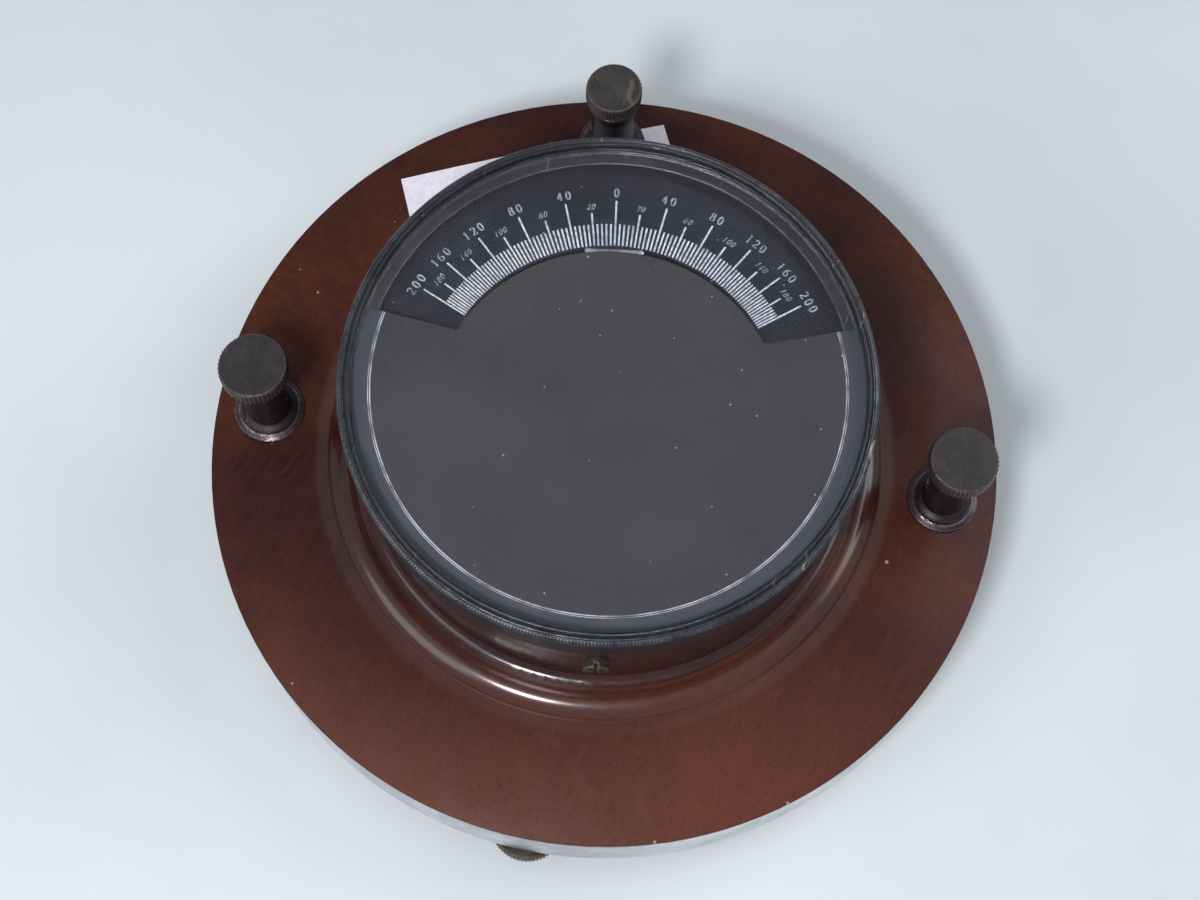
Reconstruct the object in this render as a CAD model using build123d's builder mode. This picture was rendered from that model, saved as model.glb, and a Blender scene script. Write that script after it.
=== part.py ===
# Galvanometer: a turned base on three levelling screws, a drum case with a pivoted
# magnet inside its coil, a curved scale seen through an opening in the dial card,
# a push-on bezel with its glass, and three wire terminals.
# Z is up, z = 0 is the table, the case axis is the Z axis and the scale's zero
# points to +Y. Sizes are millimetres and degrees.

import os
from math import asin, cos, degrees, pi, radians, sin, sqrt, tan

from build123d import *

os.makedirs("parts", exist_ok=True)

# Clearances
running_gap = 0.05
fixed_gap = 0.05
collar_gap = 0.1
lift_gap = 0.3
sweep_gap = 0.5
shank_hole_gap = 0.4

# Base: a turned disc with a domed top, a bead round the case and a metal rim band
stand_height = 12.8
base_radius = 90.0
base_thickness = 22.7
dome_flat = 2.71
dome_drop = 2.29
edge_round = 1.3
band_thickness = 1.2
band_height = 19.0
band_edge_round = 0.4
bead_crest_radius = 59.0
bead_radius = 5.0
bead_height = 2.5
bead_cove = 1.0
drum_step = 2.2
well_radius = 52.0
well_depth = 0.5
recess_radius = 45.0
recess_depth = 8.2
cover_radius = 54.0
cover_thickness = 2.2
cover_screw_circle_radius = 50.5
cover_screw_count = 4
cover_screw_turn = 45.0

# Case drum and its fixings
drum_radius = 54.0
drum_bore_radius = 47.5
drum_height = 34.5
foot_radius = 56.5
foot_height = 1.6
foot_cove = 2.2
foot_cove_share = 0.3
drum_screw_circle_radius = 49.8
drum_screw_count = 3
drum_screw_turn = 30.0
drum_screw_bite = 12.0
drum_screw_head_depth = 4.0

# Bezel seat: a brass ring over the drum with three screwed ears
seat_wall = 0.9
seat_overlap = 5.2
ledge_width = 2.55
ledge_thickness = 0.8
ear_width = 5.3
ear_length = 11.4
ear_screw_drop = 8.4
ear_count = 3
ear_turn = -90.0

# Dial card, scale and glass
scale_thickness = 0.8
scale_inner_radius = 35.8
scale_ledge_gap = 1.2
scale_half_angle = 86.0
scale_screw_angle = 80.0
scale_screw_inset = 1.4
card_gap = 2.0
card_thickness = 0.6
card_arc_radius = 36.4
card_arc_offset = -6.0
opening_half_width = 32.4
opening_end_slope = 12.6
opening_cut_margin = 2.0
glass_thickness = 1.7
glass_ring_thickness = 0.8
glass_ring_width = 0.8

# Bezel: skirt, knurled bead and rounded lip
skirt_wall = 0.8
skirt_length = 11.9
bezel_bead_width = 0.7
bezel_bead_height = 2.0
bezel_bead_rise = 0.2
lip_thickness = 1.0
lip_overlap = 1.1
lip_crest_inset = 0.7
lip_groove_depth = 0.6
lip_round_inset = 0.21
lip_round_drop = 0.12
bezel_lift = 15.0

# Movement: plate, coil, magnet and bearings, set off the case axis
pivot_y = -3.5
plate_radius = 46.5
plate_thickness = 2.4
plate_screw_circle_radius = 42.0
plate_screw_count = 3
plate_screw_turn = 30.0
coil_sole_thickness = 1.2
coil_sole_length = 71.0
flange_length = 62.0
flange_height = 27.0
flange_thickness = 1.2
flange_round = 5.0
coil_half_width = 17.0
coil_split = 5.0
window_length = 44.0
window_height = 10.0
window_round = 4.0
core_wall = 1.2
winding_depth = 6.6
coil_screw_x = 10.0
coil_screw_reach = 33.3
magnet_length = 34.0
magnet_width = 4.4
magnet_thickness = 2.0
magnet_parallel_length = 13.6
staff_radius = 0.8
pivot_radius = 0.3
pivot_length = 1.0
jewel_radius = 1.2
jewel_height = 1.2
jewel_bore_depth = 0.8
pivot_end_gap = 0.1
bearing_screw_radius = 2.2
bearing_screw_stand = 1.0
bearing_screw_length = 4.5
pillar_x = 26.0
bridge_pillar_radius = 3.0
bridge_length = 60.0
bridge_width = 8.0
bridge_thickness = 2.0
bridge_clearance = 2.6

# Pointer: arm, counterweight, clip bar and transparent index plate
arm_width = 1.6
arm_thickness = 0.5
arm_clearance = 0.4
arm_bend_radius_at = 29.5
hub_radius = 2.2
hub_height = 1.0
hub_gap = 0.6
tail_length = 19.0
weight_at = 16.0
weight_radius = 2.6
weight_height = 1.3
index_inner_radius = 33.8
index_outer_radius = 42.3
index_width = 10.4
index_thickness = 0.3
clip_width = 11.4
clip_depth = 1.2
clip_height = 0.6
clip_knob_radius = 0.7

# Levelling screws
foot_inset = 6.8
foot_turn = -99.6
foot_count = 3
foot_names = ["front", "right_rear", "left_rear"]
shank_radius = 2.5
shank_top = 27.0
tip_radius = 1.2
tip_height = 3.0
collar_radius = 3.6
collar_height = 1.0
disc_radius = 8.6
disc_height = 4.4
disc_floor = 5.0
disc_teeth = 60
disc_tooth_depth = 0.35
disc_edge = 0.5
bush_radius = 3.8
bush_height = 12.2
shank_headroom = 3.5

# Terminals: turned pillar with a cross hole, clamp screw and knurled head
terminal_inset = 12.5
terminal_seat = 34.3
washer_radius = 8.05
washer_height = 1.7
washer_rim_height = 1.02
washer_slope_height = 1.36
washer_step_radius = 7.0
pillar_radius = 5.1
pillar_foot_radius = 6.4
pillar_foot_height = 1.6
pillar_top = 54.4
pillar_neck_radius = 4.3
pillar_neck_height = 1.4
wire_hole_radius = 1.7
wire_hole_height = 45.5
clamp_radius = 2.0
clamp_tip_radius = 1.1
clamp_tip_length = 3.0
clamp_tip_stand = 0.7
clamp_travel = 2.1
clamp_collar_radius = 3.6
clamp_collar_height = 0.7
head_gap = 2.4
head_height = 4.9
head_teeth = 48
head_tooth_depth = 0.35
head_socket_depth = 3.5
head_top_edge = 0.4
head_bottom_edge = 0.9
terminal_shank_radius = 2.0
nut_radius = 5.0
nut_height = 3.5
nut_well_radius = 6.5
nut_well_depth = 6.4
shank_tail = 1.2
terminals = {"left": (175.7, 7.6), "rear": (91.2, 6.45), "right": (-6.3, 7.55)}

# Leads from the terminals to the coil, in grooves under the base
wire_radius = 0.8
groove_half_width = 1.2
groove_depth = 5.6
lead_height = 16.9
lead_bend = 3.4
lead_bend_share = 0.9
lead_top = 43.0
lead_side_x = 20.5
lead_rear = (2.6, 34.2)

# Screws
ear_screw = (1.3, 6.0, 2.7, 2.2)
wood_screw = (1.5, 11.0, 2.6, 1.6)
small_screw = (1.0, 2.2, 1.8, 1.2)
scale_screw = (0.6, 4.0, 1.2, 0.7)
cover_screw = (1.2, 6.0, 2.2, 1.0)
slot_width = 0.7
slot_share = 0.45

# Paper strip round the foot of the rear terminal
label_length = 65.0
label_width = 13.2
label_thickness = 0.2
label_turn = 15.9
label_offset_x = -17.077
label_offset_y = -8.983

# Heights that follow from the sizes above
underside = stand_height
base_top = underside + base_thickness
band_top = underside + band_height
well_floor = base_top - well_depth
step_top = base_top + drum_step
bead_top = base_top + bead_height
bead_centre = bead_top - bead_radius
bead_in = bead_crest_radius - sqrt(bead_radius**2 - (step_top - bead_centre) ** 2)
bead_out = bead_crest_radius + sqrt(bead_radius**2 - (base_top - bead_centre) ** 2)
dome_start_radius = bead_out + dome_flat
dome_run = base_radius - dome_start_radius
dome_radius = (dome_run**2 + dome_drop**2) / (2 * dome_drop)
foot_circle_radius = base_radius - foot_inset
terminal_circle_radius = base_radius - terminal_inset
drum_top = step_top + drum_height
scale_top = drum_top + scale_thickness
card_floor = scale_top + card_gap
card_top = card_floor + card_thickness
glass_ring_floor = card_top + lift_gap
glass_floor = glass_ring_floor + glass_ring_thickness
glass_top = glass_floor + glass_thickness
bezel_top = glass_top + lip_thickness
skirt_floor = glass_top - skirt_length
seat_inner = drum_radius + fixed_gap
scale_outer_radius = seat_inner - ledge_width - scale_ledge_gap
scale_screw_circle_radius = scale_outer_radius - scale_screw_inset
seat_outer = seat_inner + seat_wall
skirt_inner = seat_outer + running_gap
skirt_outer = skirt_inner + skirt_wall
lip_inner = skirt_inner - lip_overlap
seat_floor = drum_top - seat_overlap
ear_floor = seat_floor - ear_length
ear_screw_height = seat_floor - ear_screw_drop
plate_top = well_floor + plate_thickness
sole_top = plate_top + coil_sole_thickness
flange_top = sole_top + flange_height
magnet_height = sole_top + flange_height / 2
lower_screw_top = sole_top + bearing_screw_stand
arm_floor = flange_top + arm_clearance
arm_top = arm_floor + arm_thickness
bridge_floor = flange_top + bridge_clearance
bridge_top = bridge_floor + bridge_thickness
upper_screw_floor = arm_floor + hub_height + hub_gap
index_floor = scale_top + sweep_gap
index_top = index_floor + index_thickness
disc_top = disc_floor + disc_height
clamp_tip_end = wire_hole_height + wire_hole_radius + clamp_tip_stand
clamp_shoulder = clamp_tip_end + clamp_tip_length
clamp_collar_floor = pillar_top + head_gap
head_floor = clamp_collar_floor + clamp_collar_height + collar_gap
head_top = head_floor + head_height
socket_top = head_floor + head_socket_depth
nut_floor = underside + nut_well_depth - nut_height
case_axis = Axis.Z


def polar(radius, angle):
    """Point at a radius and an angle from +X about the case axis."""
    return (radius * cos(radians(angle)), radius * sin(radians(angle)))


def upright(x, y):
    """Vertical plane through a point: its x is the radius, its y is the height."""
    return Plane(origin=(x, y, 0), x_dir=(1, 0, 0), z_dir=(0, -1, 0))


def post_axis(x, y):
    """Vertical axis through a point."""
    return Axis((x, y, 0), (0, 0, 1))


def turned(x, y, outline):
    """Solid turned about a vertical axis from a list of radius and height pairs."""
    with BuildPart() as body:
        with BuildSketch(upright(x, y)):
            with BuildLine():
                Polyline(*outline, close=True)
            make_face()
        revolve(axis=post_axis(x, y))
    return body.part


def ring(inner, outer, floor, top):
    """Plain ring about the case axis."""
    return turned(0, 0, [(inner, floor), (outer, floor), (outer, top), (inner, top)])


def slotted_screw(seat, sizes):
    """Cheese-head screw on a plane, with its head outwards and its shank inwards."""
    thread_radius, thread_length, screw_head_radius, screw_head_height = sizes
    with BuildPart() as screw:
        with BuildSketch(seat):
            Circle(screw_head_radius)
        extrude(amount=screw_head_height)
        with BuildSketch(seat):
            Circle(thread_radius)
        extrude(amount=-thread_length)
        with BuildSketch(seat.offset(screw_head_height)):
            Rectangle(3 * screw_head_radius, slot_width)
        extrude(amount=-slot_share * screw_head_height, mode=Mode.SUBTRACT)
    return screw.part


def toothed_outline(x, y, radius, depth, teeth, height):
    """Sketch of a knurled rim: one ridge and one groove for each tooth."""
    points = []
    for k in range(2 * teeth):
        r = radius - depth * (k % 2)
        points.append((r * cos(pi * k / teeth), r * sin(pi * k / teeth)))
    with BuildSketch(Plane(origin=(x, y, height))) as outline:
        with BuildLine():
            Polyline(*points, close=True)
        make_face()
    return outline.sketch


def flat_plane(x, y, height, direction=1):
    """Level plane at a point, facing up or down."""
    return Plane(origin=(x, y, height), x_dir=(1, 0, 0), z_dir=(0, 0, direction))


foot_places = [polar(foot_circle_radius, foot_turn + k * 360 / foot_count) for k in range(foot_count)]
drum_screw_places = [
    polar(drum_screw_circle_radius, drum_screw_turn + k * 360 / drum_screw_count)
    for k in range(drum_screw_count)
]
cover_screw_places = [
    polar(cover_screw_circle_radius, cover_screw_turn + k * 360 / cover_screw_count)
    for k in range(cover_screw_count)
]
plate_screw_places = [
    polar(plate_screw_circle_radius, plate_screw_turn + k * 360 / plate_screw_count) for k in range(plate_screw_count)
]
coil_screw_places = [
    (sx * coil_screw_x, pivot_y + sy * coil_screw_reach) for sx in (-1, 1) for sy in (-1, 1)
]
terminal_places = {name: polar(terminal_circle_radius, turn) for name, (turn, _) in terminals.items()}
lead_holes = {
    "left": (-lead_side_x, pivot_y),
    "right": (lead_side_x, pivot_y),
    "rear": lead_rear,
}


# Base disc, turned, then bored from below
with BuildPart() as base_disc:
    with BuildSketch(upright(0, 0)) as base_profile:
        with BuildLine():
            rim_height = base_top - dome_drop
            rim_inner = base_radius - band_thickness
            Polyline((0, well_floor), (well_radius, well_floor), (well_radius, step_top), (bead_in, step_top))
            ThreePointArc((bead_in, step_top), (bead_crest_radius, bead_top), (bead_out, base_top))
            Line((bead_out, base_top), (dome_start_radius, base_top))
            RadiusArc((dome_start_radius, base_top), (base_radius, rim_height), dome_radius)
            Polyline(
                (base_radius, rim_height),
                (base_radius, band_top),
                (rim_inner, band_top),
                (rim_inner, underside),
                (cover_radius + fixed_gap, underside),
                (cover_radius + fixed_gap, underside + cover_thickness),
                (recess_radius, underside + cover_thickness),
                (recess_radius, underside + recess_depth),
                (0, underside + recess_depth),
                (0, well_floor),
            )
        make_face()
        rim_corner = base_profile.vertices().sort_by_distance((base_radius, 0, rim_height))[:1]
        fillet(rim_corner, edge_round)
        bead_corner = base_profile.vertices().sort_by_distance((bead_out, 0, base_top))[:1]
        fillet(bead_corner, bead_cove)
    revolve(axis=case_axis)
    with BuildSketch(Plane.XY.offset(terminal_seat)):
        with Locations(*terminal_places.values()):
            Circle(washer_radius + fixed_gap)
    extrude(amount=base_top - terminal_seat, mode=Mode.SUBTRACT)
    with BuildSketch(Plane.XY.offset(underside)):
        with Locations(*terminal_places.values()):
            Circle(nut_well_radius)
    extrude(amount=nut_well_depth, mode=Mode.SUBTRACT)
    with BuildSketch(Plane.XY.offset(underside)):
        with Locations(*terminal_places.values()):
            Circle(terminal_shank_radius + fixed_gap)
    extrude(amount=base_thickness, mode=Mode.SUBTRACT)
    with BuildSketch(Plane.XY.offset(underside)):
        with Locations(*foot_places):
            Circle(bush_radius)
    extrude(amount=bush_height, mode=Mode.SUBTRACT)
    with BuildSketch(Plane.XY.offset(underside)):
        with Locations(*foot_places):
            Circle(shank_radius + shank_hole_gap)
    extrude(amount=shank_top + shank_headroom - underside, mode=Mode.SUBTRACT)
    with BuildSketch(Plane.XY.offset(underside + cover_thickness)):
        with Locations(*drum_screw_places):
            Circle(wood_screw[2] + fixed_gap)
    extrude(amount=drum_screw_head_depth, mode=Mode.SUBTRACT)
    with BuildSketch(Plane.XY.offset(underside + cover_thickness)):
        with Locations(*drum_screw_places):
            Circle(wood_screw[0] + fixed_gap)
    extrude(amount=base_thickness, mode=Mode.SUBTRACT)
    with BuildSketch(Plane.XY.offset(underside + cover_thickness)):
        with Locations(*cover_screw_places):
            Circle(cover_screw[0] + fixed_gap)
    extrude(amount=cover_screw[1], mode=Mode.SUBTRACT)
    with BuildSketch(Plane.XY.offset(well_floor)):
        with Locations(*plate_screw_places):
            Circle(wood_screw[0] + fixed_gap)
    extrude(amount=-wood_screw[1], mode=Mode.SUBTRACT)
    with BuildSketch(Plane.XY.offset(underside)):
        with Locations(*lead_holes.values()):
            Circle(groove_half_width)
    extrude(amount=base_thickness, mode=Mode.SUBTRACT)
    for name, (tx, ty) in terminal_places.items():
        hx, hy = lead_holes[name]
        run = sqrt((hx - tx) ** 2 + (hy - ty) ** 2)
        groove_plane = Plane(origin=(tx, ty, underside), x_dir=(hx - tx, hy - ty, 0), z_dir=(0, 0, 1))
        with BuildSketch(groove_plane):
            with Locations((run / 2, 0)):
                Rectangle(run, 2 * groove_half_width)
        extrude(amount=groove_depth, mode=Mode.SUBTRACT)
base_disc.part.label = "base_disc"
export_step(base_disc.part, "parts/base_disc.step")

# Bright band let into the rim of the base
with BuildPart() as rim_band:
    with BuildSketch(upright(0, 0)) as band_profile:
        with Locations((base_radius - band_thickness / 2, (band_top + underside) / 2)):
            Rectangle(band_thickness, band_height)
        outer_corners = band_profile.vertices().sort_by(Axis.X)[-2:]
        fillet(outer_corners, band_edge_round)
    revolve(axis=case_axis)
rim_band.part.label = "rim_band"
export_step(rim_band.part, "parts/rim_band.step")

# Cover over the wiring recess, and its screws
with BuildPart() as base_cover:
    with BuildSketch(Plane.XY.offset(underside)):
        Circle(cover_radius)
        with Locations(*cover_screw_places):
            Circle(cover_screw[0] + fixed_gap, mode=Mode.SUBTRACT)
    extrude(amount=cover_thickness)
    with BuildSketch(Plane.XY.offset(underside)):
        with Locations(*cover_screw_places):
            Circle(cover_screw[2] + fixed_gap)
    extrude(amount=cover_screw[3], mode=Mode.SUBTRACT)
base_cover.part.label = "base_cover"
export_step(base_cover.part, "parts/base_cover.step")

cover_seat = underside + cover_screw[3]
cover_screw_solids = [slotted_screw(flat_plane(x, y, cover_seat, -1), cover_screw) for x, y in cover_screw_places]
with BuildPart() as base_cover_screws:
    add(cover_screw_solids)
base_cover_screws.part.label = "base_cover_screws"
export_step(base_cover_screws.part, "parts/base_cover_screws.step")

# Threaded bushes for the levelling screws
with BuildPart() as levelling_bushes:
    with BuildSketch(Plane.XY.offset(underside)):
        with Locations(*foot_places):
            Circle(bush_radius)
            Circle(shank_radius + running_gap, mode=Mode.SUBTRACT)
    extrude(amount=bush_height)
levelling_bushes.part.label = "levelling_bushes"
export_step(levelling_bushes.part, "parts/levelling_bushes.step")

# Case drum with a coved foot, and the screws that hold it from below
with BuildPart() as case_drum:
    with BuildSketch(upright(0, 0)):
        with BuildLine():
            foot_top = step_top + foot_height
            Polyline(
                (drum_radius, foot_top + foot_cove),
                (drum_radius, drum_top),
                (drum_bore_radius, drum_top),
                (drum_bore_radius, well_floor),
                (well_radius - fixed_gap, well_floor),
                (well_radius - fixed_gap, step_top),
                (foot_radius, step_top),
                (foot_radius, foot_top),
            )
            cove_out = foot_radius - drum_radius
            cove_middle = (drum_radius + foot_cove_share * cove_out, foot_top + foot_cove_share * foot_cove)
            ThreePointArc((foot_radius, foot_top), cove_middle, (drum_radius, foot_top + foot_cove))
        make_face()
    revolve(axis=case_axis)
    with BuildSketch(Plane.XY.offset(well_floor)):
        with Locations(*drum_screw_places):
            Circle(wood_screw[0] + fixed_gap)
    extrude(amount=drum_screw_bite, mode=Mode.SUBTRACT)
    for k in range(ear_count):
        turn = ear_turn + k * 360 / ear_count
        x, y = polar(drum_radius, turn)
        outward = Plane(origin=(x, y, ear_screw_height), z_dir=(x, y, 0))
        with BuildSketch(outward):
            Circle(ear_screw[0] + fixed_gap)
        extrude(amount=-ear_screw[1], mode=Mode.SUBTRACT)
    for side in (-1, 1):
        with BuildSketch(Plane.XY.offset(drum_top)):
            with Locations(polar(scale_screw_circle_radius, 90 + side * scale_screw_angle)):
                Circle(scale_screw[0] + fixed_gap)
        extrude(amount=-scale_screw[1], mode=Mode.SUBTRACT)
case_drum.part.label = "case_drum"
export_step(case_drum.part, "parts/case_drum.step")

drum_screw_floor = underside + cover_thickness + drum_screw_head_depth
drum_screw_sizes = (wood_screw[0], well_floor + drum_screw_bite - drum_screw_floor, wood_screw[2], wood_screw[3])
drum_screw_solids = [
    slotted_screw(flat_plane(x, y, drum_screw_floor, -1), drum_screw_sizes) for x, y in drum_screw_places
]
with BuildPart() as drum_screws:
    add(drum_screw_solids)
drum_screws.part.label = "drum_screws"
export_step(drum_screws.part, "parts/drum_screws.step")

# Bezel seat: ring, inner ledge for the dial card, and ears down the drum
with BuildPart() as bezel_seat:
    with BuildSketch(upright(0, 0)):
        with BuildLine():
            Polyline(
                (seat_inner, seat_floor),
                (seat_outer, seat_floor),
                (seat_outer, card_top),
                (seat_inner, card_top),
                (seat_inner, card_floor),
                (seat_inner - ledge_width, card_floor),
                (seat_inner - ledge_width, card_floor - ledge_thickness),
                (seat_inner, card_floor - ledge_thickness),
                close=True,
            )
        make_face()
    revolve(axis=case_axis)
    ear_span = 2 * degrees(asin(ear_width / 2 / seat_outer))
    for k in range(ear_count):
        start = ear_turn + k * 360 / ear_count - ear_span / 2
        ear_plane = Plane.XZ.rotated((0, 0, start))
        with BuildSketch(ear_plane):
            with Locations(((seat_inner + seat_outer) / 2, (ear_floor + seat_floor) / 2)):
                Rectangle(seat_wall, ear_length)
        revolve(axis=case_axis, revolution_arc=ear_span)
    for k in range(ear_count):
        x, y = polar(seat_outer, ear_turn + k * 360 / ear_count)
        outward = Plane(origin=(x, y, ear_screw_height), z_dir=(x, y, 0))
        with BuildSketch(outward):
            Circle(ear_screw[0] + fixed_gap)
        extrude(amount=-2 * seat_wall, mode=Mode.SUBTRACT)
bezel_seat.part.label = "bezel_seat"
export_step(bezel_seat.part, "parts/bezel_seat.step")

seat_screw_solids = []
for k in range(ear_count):
    x, y = polar(seat_outer, ear_turn + k * 360 / ear_count)
    head_seat = Plane(origin=(x, y, ear_screw_height), x_dir=(0, 0, 1), z_dir=(x, y, 0))
    seat_screw_solids.append(slotted_screw(head_seat, ear_screw))
with BuildPart() as seat_screws:
    add(seat_screw_solids)
seat_screws.part.label = "seat_screws"
export_step(seat_screws.part, "parts/seat_screws.step")

# Dial card: a disc with a curved opening for the scale, open at the rim
with BuildPart() as dial_card:
    card_radius = seat_inner - fixed_gap
    corner_y = card_arc_offset + sqrt(card_arc_radius**2 - opening_half_width**2)
    reach = card_radius + opening_cut_margin
    end_y = corner_y + (reach - opening_half_width) * tan(radians(opening_end_slope))
    with BuildSketch(Plane.XY.offset(card_floor)):
        Circle(card_radius)
        with BuildSketch(mode=Mode.SUBTRACT):
            with BuildLine():
                left, right = (-opening_half_width, corner_y), (opening_half_width, corner_y)
                ThreePointArc(left, (0, card_arc_offset + card_arc_radius), right)
                Polyline(right, (reach, end_y), (reach, reach), (-reach, reach), (-reach, end_y), left)
            make_face()
    extrude(amount=card_thickness)
dial_card.part.label = "dial_card"
export_step(dial_card.part, "parts/dial_card.step")

# Scale: a sector plate on the drum, with its inner edge centred on the pivot
with BuildPart() as scale_plate:
    with BuildSketch(Plane.XY.offset(drum_top)):
        Circle(scale_outer_radius)
        with Locations((0, pivot_y)):
            Circle(scale_inner_radius, mode=Mode.SUBTRACT)
        with BuildSketch(mode=Mode.SUBTRACT):
            with BuildLine():
                side_x, side_y = polar(2 * scale_outer_radius, 90 - scale_half_angle)
                Polyline(
                    (0, 0),
                    (side_x, side_y),
                    (side_x, -2 * scale_outer_radius),
                    (-side_x, -2 * scale_outer_radius),
                    (-side_x, side_y),
                    close=True,
                )
            make_face()
        for side in (-1, 1):
            with Locations(polar(scale_screw_circle_radius, 90 + side * scale_screw_angle)):
                Circle(scale_screw[0] + fixed_gap, mode=Mode.SUBTRACT)
    extrude(amount=scale_thickness)
scale_plate.part.label = "scale_plate"
export_step(scale_plate.part, "parts/scale_plate.step")

scale_screw_solids = []
for side in (-1, 1):
    x, y = polar(scale_screw_circle_radius, 90 + side * scale_screw_angle)
    scale_screw_solids.append(slotted_screw(flat_plane(x, y, scale_top), scale_screw))
with BuildPart() as scale_screws:
    add(scale_screw_solids)
scale_screws.part.label = "scale_screws"
export_step(scale_screws.part, "parts/scale_screws.step")

# Bezel, glass and the ring that holds the glass from below
with BuildPart() as bezel:
    bead_floor = glass_top - bezel_bead_height + bezel_bead_rise
    bead_middle = bead_floor + bezel_bead_height / 2
    groove_floor = bead_floor + bezel_bead_height - lip_groove_depth / 2
    with BuildSketch(upright(0, 0)):
        with BuildLine():
            Polyline(
                (skirt_outer, bead_floor),
                (skirt_outer, skirt_floor),
                (skirt_inner, skirt_floor),
                (skirt_inner, glass_top),
                (lip_inner, glass_top),
                (lip_inner, bezel_top - lip_groove_depth),
            )
            crest = (lip_inner + lip_crest_inset, bezel_top)
            lip_outer = (skirt_inner + skirt_wall / 2, groove_floor)
            ThreePointArc(
                (lip_inner, bezel_top - lip_groove_depth),
                (lip_inner + lip_round_inset, bezel_top - lip_round_drop),
                crest,
            )
            Line(crest, lip_outer)
            Line(lip_outer, (skirt_outer, bead_floor + bezel_bead_height))
            ThreePointArc(
                (skirt_outer, bead_floor + bezel_bead_height),
                (skirt_outer + bezel_bead_width, bead_middle),
                (skirt_outer, bead_floor),
            )
        make_face()
    revolve(axis=case_axis)
bezel.part.label = "bezel"
export_step(bezel.part, "parts/bezel.step")

with BuildPart() as glass:
    with BuildSketch(Plane.XY.offset(glass_floor)):
        Circle(skirt_inner - fixed_gap)
    extrude(amount=glass_thickness)
glass.part.label = "glass"
export_step(glass.part, "parts/glass.step")

with BuildPart() as glass_ring:
    ring_outer = skirt_inner - fixed_gap
    with BuildSketch(Plane.XY.offset(glass_ring_floor)):
        Circle(ring_outer)
        Circle(ring_outer - glass_ring_width, mode=Mode.SUBTRACT)
    extrude(amount=glass_ring_thickness)
glass_ring.part.label = "glass_ring"
export_step(glass_ring.part, "parts/glass_ring.step")

# Movement plate and its screws
with BuildPart() as movement_plate:
    with BuildSketch(Plane.XY.offset(well_floor)):
        Circle(plate_radius)
        with Locations(*plate_screw_places):
            Circle(wood_screw[0] + fixed_gap, mode=Mode.SUBTRACT)
        with Locations(*coil_screw_places):
            Circle(small_screw[0] + fixed_gap, mode=Mode.SUBTRACT)
        with Locations((0, pivot_y)):
            Circle(bearing_screw_radius + fixed_gap, mode=Mode.SUBTRACT)
        with Locations(*lead_holes.values()):
            Circle(groove_half_width, mode=Mode.SUBTRACT)
    extrude(amount=plate_thickness)
movement_plate.part.label = "movement_plate"
export_step(movement_plate.part, "parts/movement_plate.step")

plate_screw_sizes = (wood_screw[0], wood_screw[1] + plate_thickness, wood_screw[2], wood_screw[3])
plate_screw_solids = [
    slotted_screw(flat_plane(x, y, plate_top), plate_screw_sizes) for x, y in plate_screw_places
]
with BuildPart() as movement_screws:
    add(plate_screw_solids)
movement_screws.part.label = "movement_screws"
export_step(movement_screws.part, "parts/movement_screws.step")

# Coil former: sole, four flanges and two tubes round the window
core_length = window_length + 2 * core_wall
core_height = window_height + 2 * core_wall
flange_starts = [-coil_half_width, -coil_split / 2 - flange_thickness]
flange_starts += [coil_split / 2, coil_half_width - flange_thickness]
with BuildPart() as coil_former:
    with BuildSketch(Plane.XY.offset(plate_top)):
        with Locations((0, pivot_y)):
            Rectangle(2 * coil_half_width, coil_sole_length)
            Circle(bearing_screw_radius + fixed_gap, mode=Mode.SUBTRACT)
        with Locations(*coil_screw_places):
            Circle(small_screw[0] + fixed_gap, mode=Mode.SUBTRACT)
    extrude(amount=coil_sole_thickness)
    for start in flange_starts:
        with BuildSketch(Plane.YZ.offset(start)):
            with Locations((pivot_y, sole_top + flange_height / 2)):
                RectangleRounded(flange_length, flange_height, flange_round)
        extrude(amount=flange_thickness)
        with BuildSketch(Plane.YZ.offset(start)):
            with Locations((pivot_y, sole_top + flange_height / 4)):
                Rectangle(flange_length, flange_height / 2)
        extrude(amount=flange_thickness)
    for start in (-coil_half_width, coil_split / 2):
        with BuildSketch(Plane.YZ.offset(start)):
            with Locations((pivot_y, magnet_height)):
                RectangleRounded(core_length, core_height, window_round + core_wall)
        extrude(amount=coil_half_width - coil_split / 2)
    with BuildSketch(Plane.YZ.offset(-coil_half_width)):
        with Locations((pivot_y, magnet_height)):
            RectangleRounded(window_length, window_height, window_round)
    extrude(amount=2 * coil_half_width, mode=Mode.SUBTRACT)
coil_former.part.label = "coil_former"
export_step(coil_former.part, "parts/coil_former.step")

# Two windings between the flanges
winding_inner = coil_split / 2 + flange_thickness
winding_width = coil_half_width - flange_thickness - winding_inner
winding_length = core_length + 2 * winding_depth
winding_height = core_height + 2 * winding_depth
for name, start in (("coil_winding_left", -winding_inner - winding_width), ("coil_winding_right", winding_inner)):
    with BuildPart() as winding:
        with BuildSketch(Plane.YZ.offset(start)):
            with Locations((pivot_y, magnet_height)):
                RectangleRounded(winding_length, winding_height, window_round + core_wall + winding_depth)
                RectangleRounded(core_length, core_height, window_round + core_wall, mode=Mode.SUBTRACT)
        extrude(amount=winding_width)
    winding.part.label = name
    export_step(winding.part, "parts/" + name + ".step")

coil_screw_sizes = (small_screw[0], coil_sole_thickness + plate_thickness, small_screw[2], small_screw[3])
coil_screw_solids = [slotted_screw(flat_plane(x, y, sole_top), coil_screw_sizes) for x, y in coil_screw_places]
with BuildPart() as coil_screws:
    add(coil_screw_solids)
coil_screws.part.label = "coil_screws"
export_step(coil_screws.part, "parts/coil_screws.step")

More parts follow.
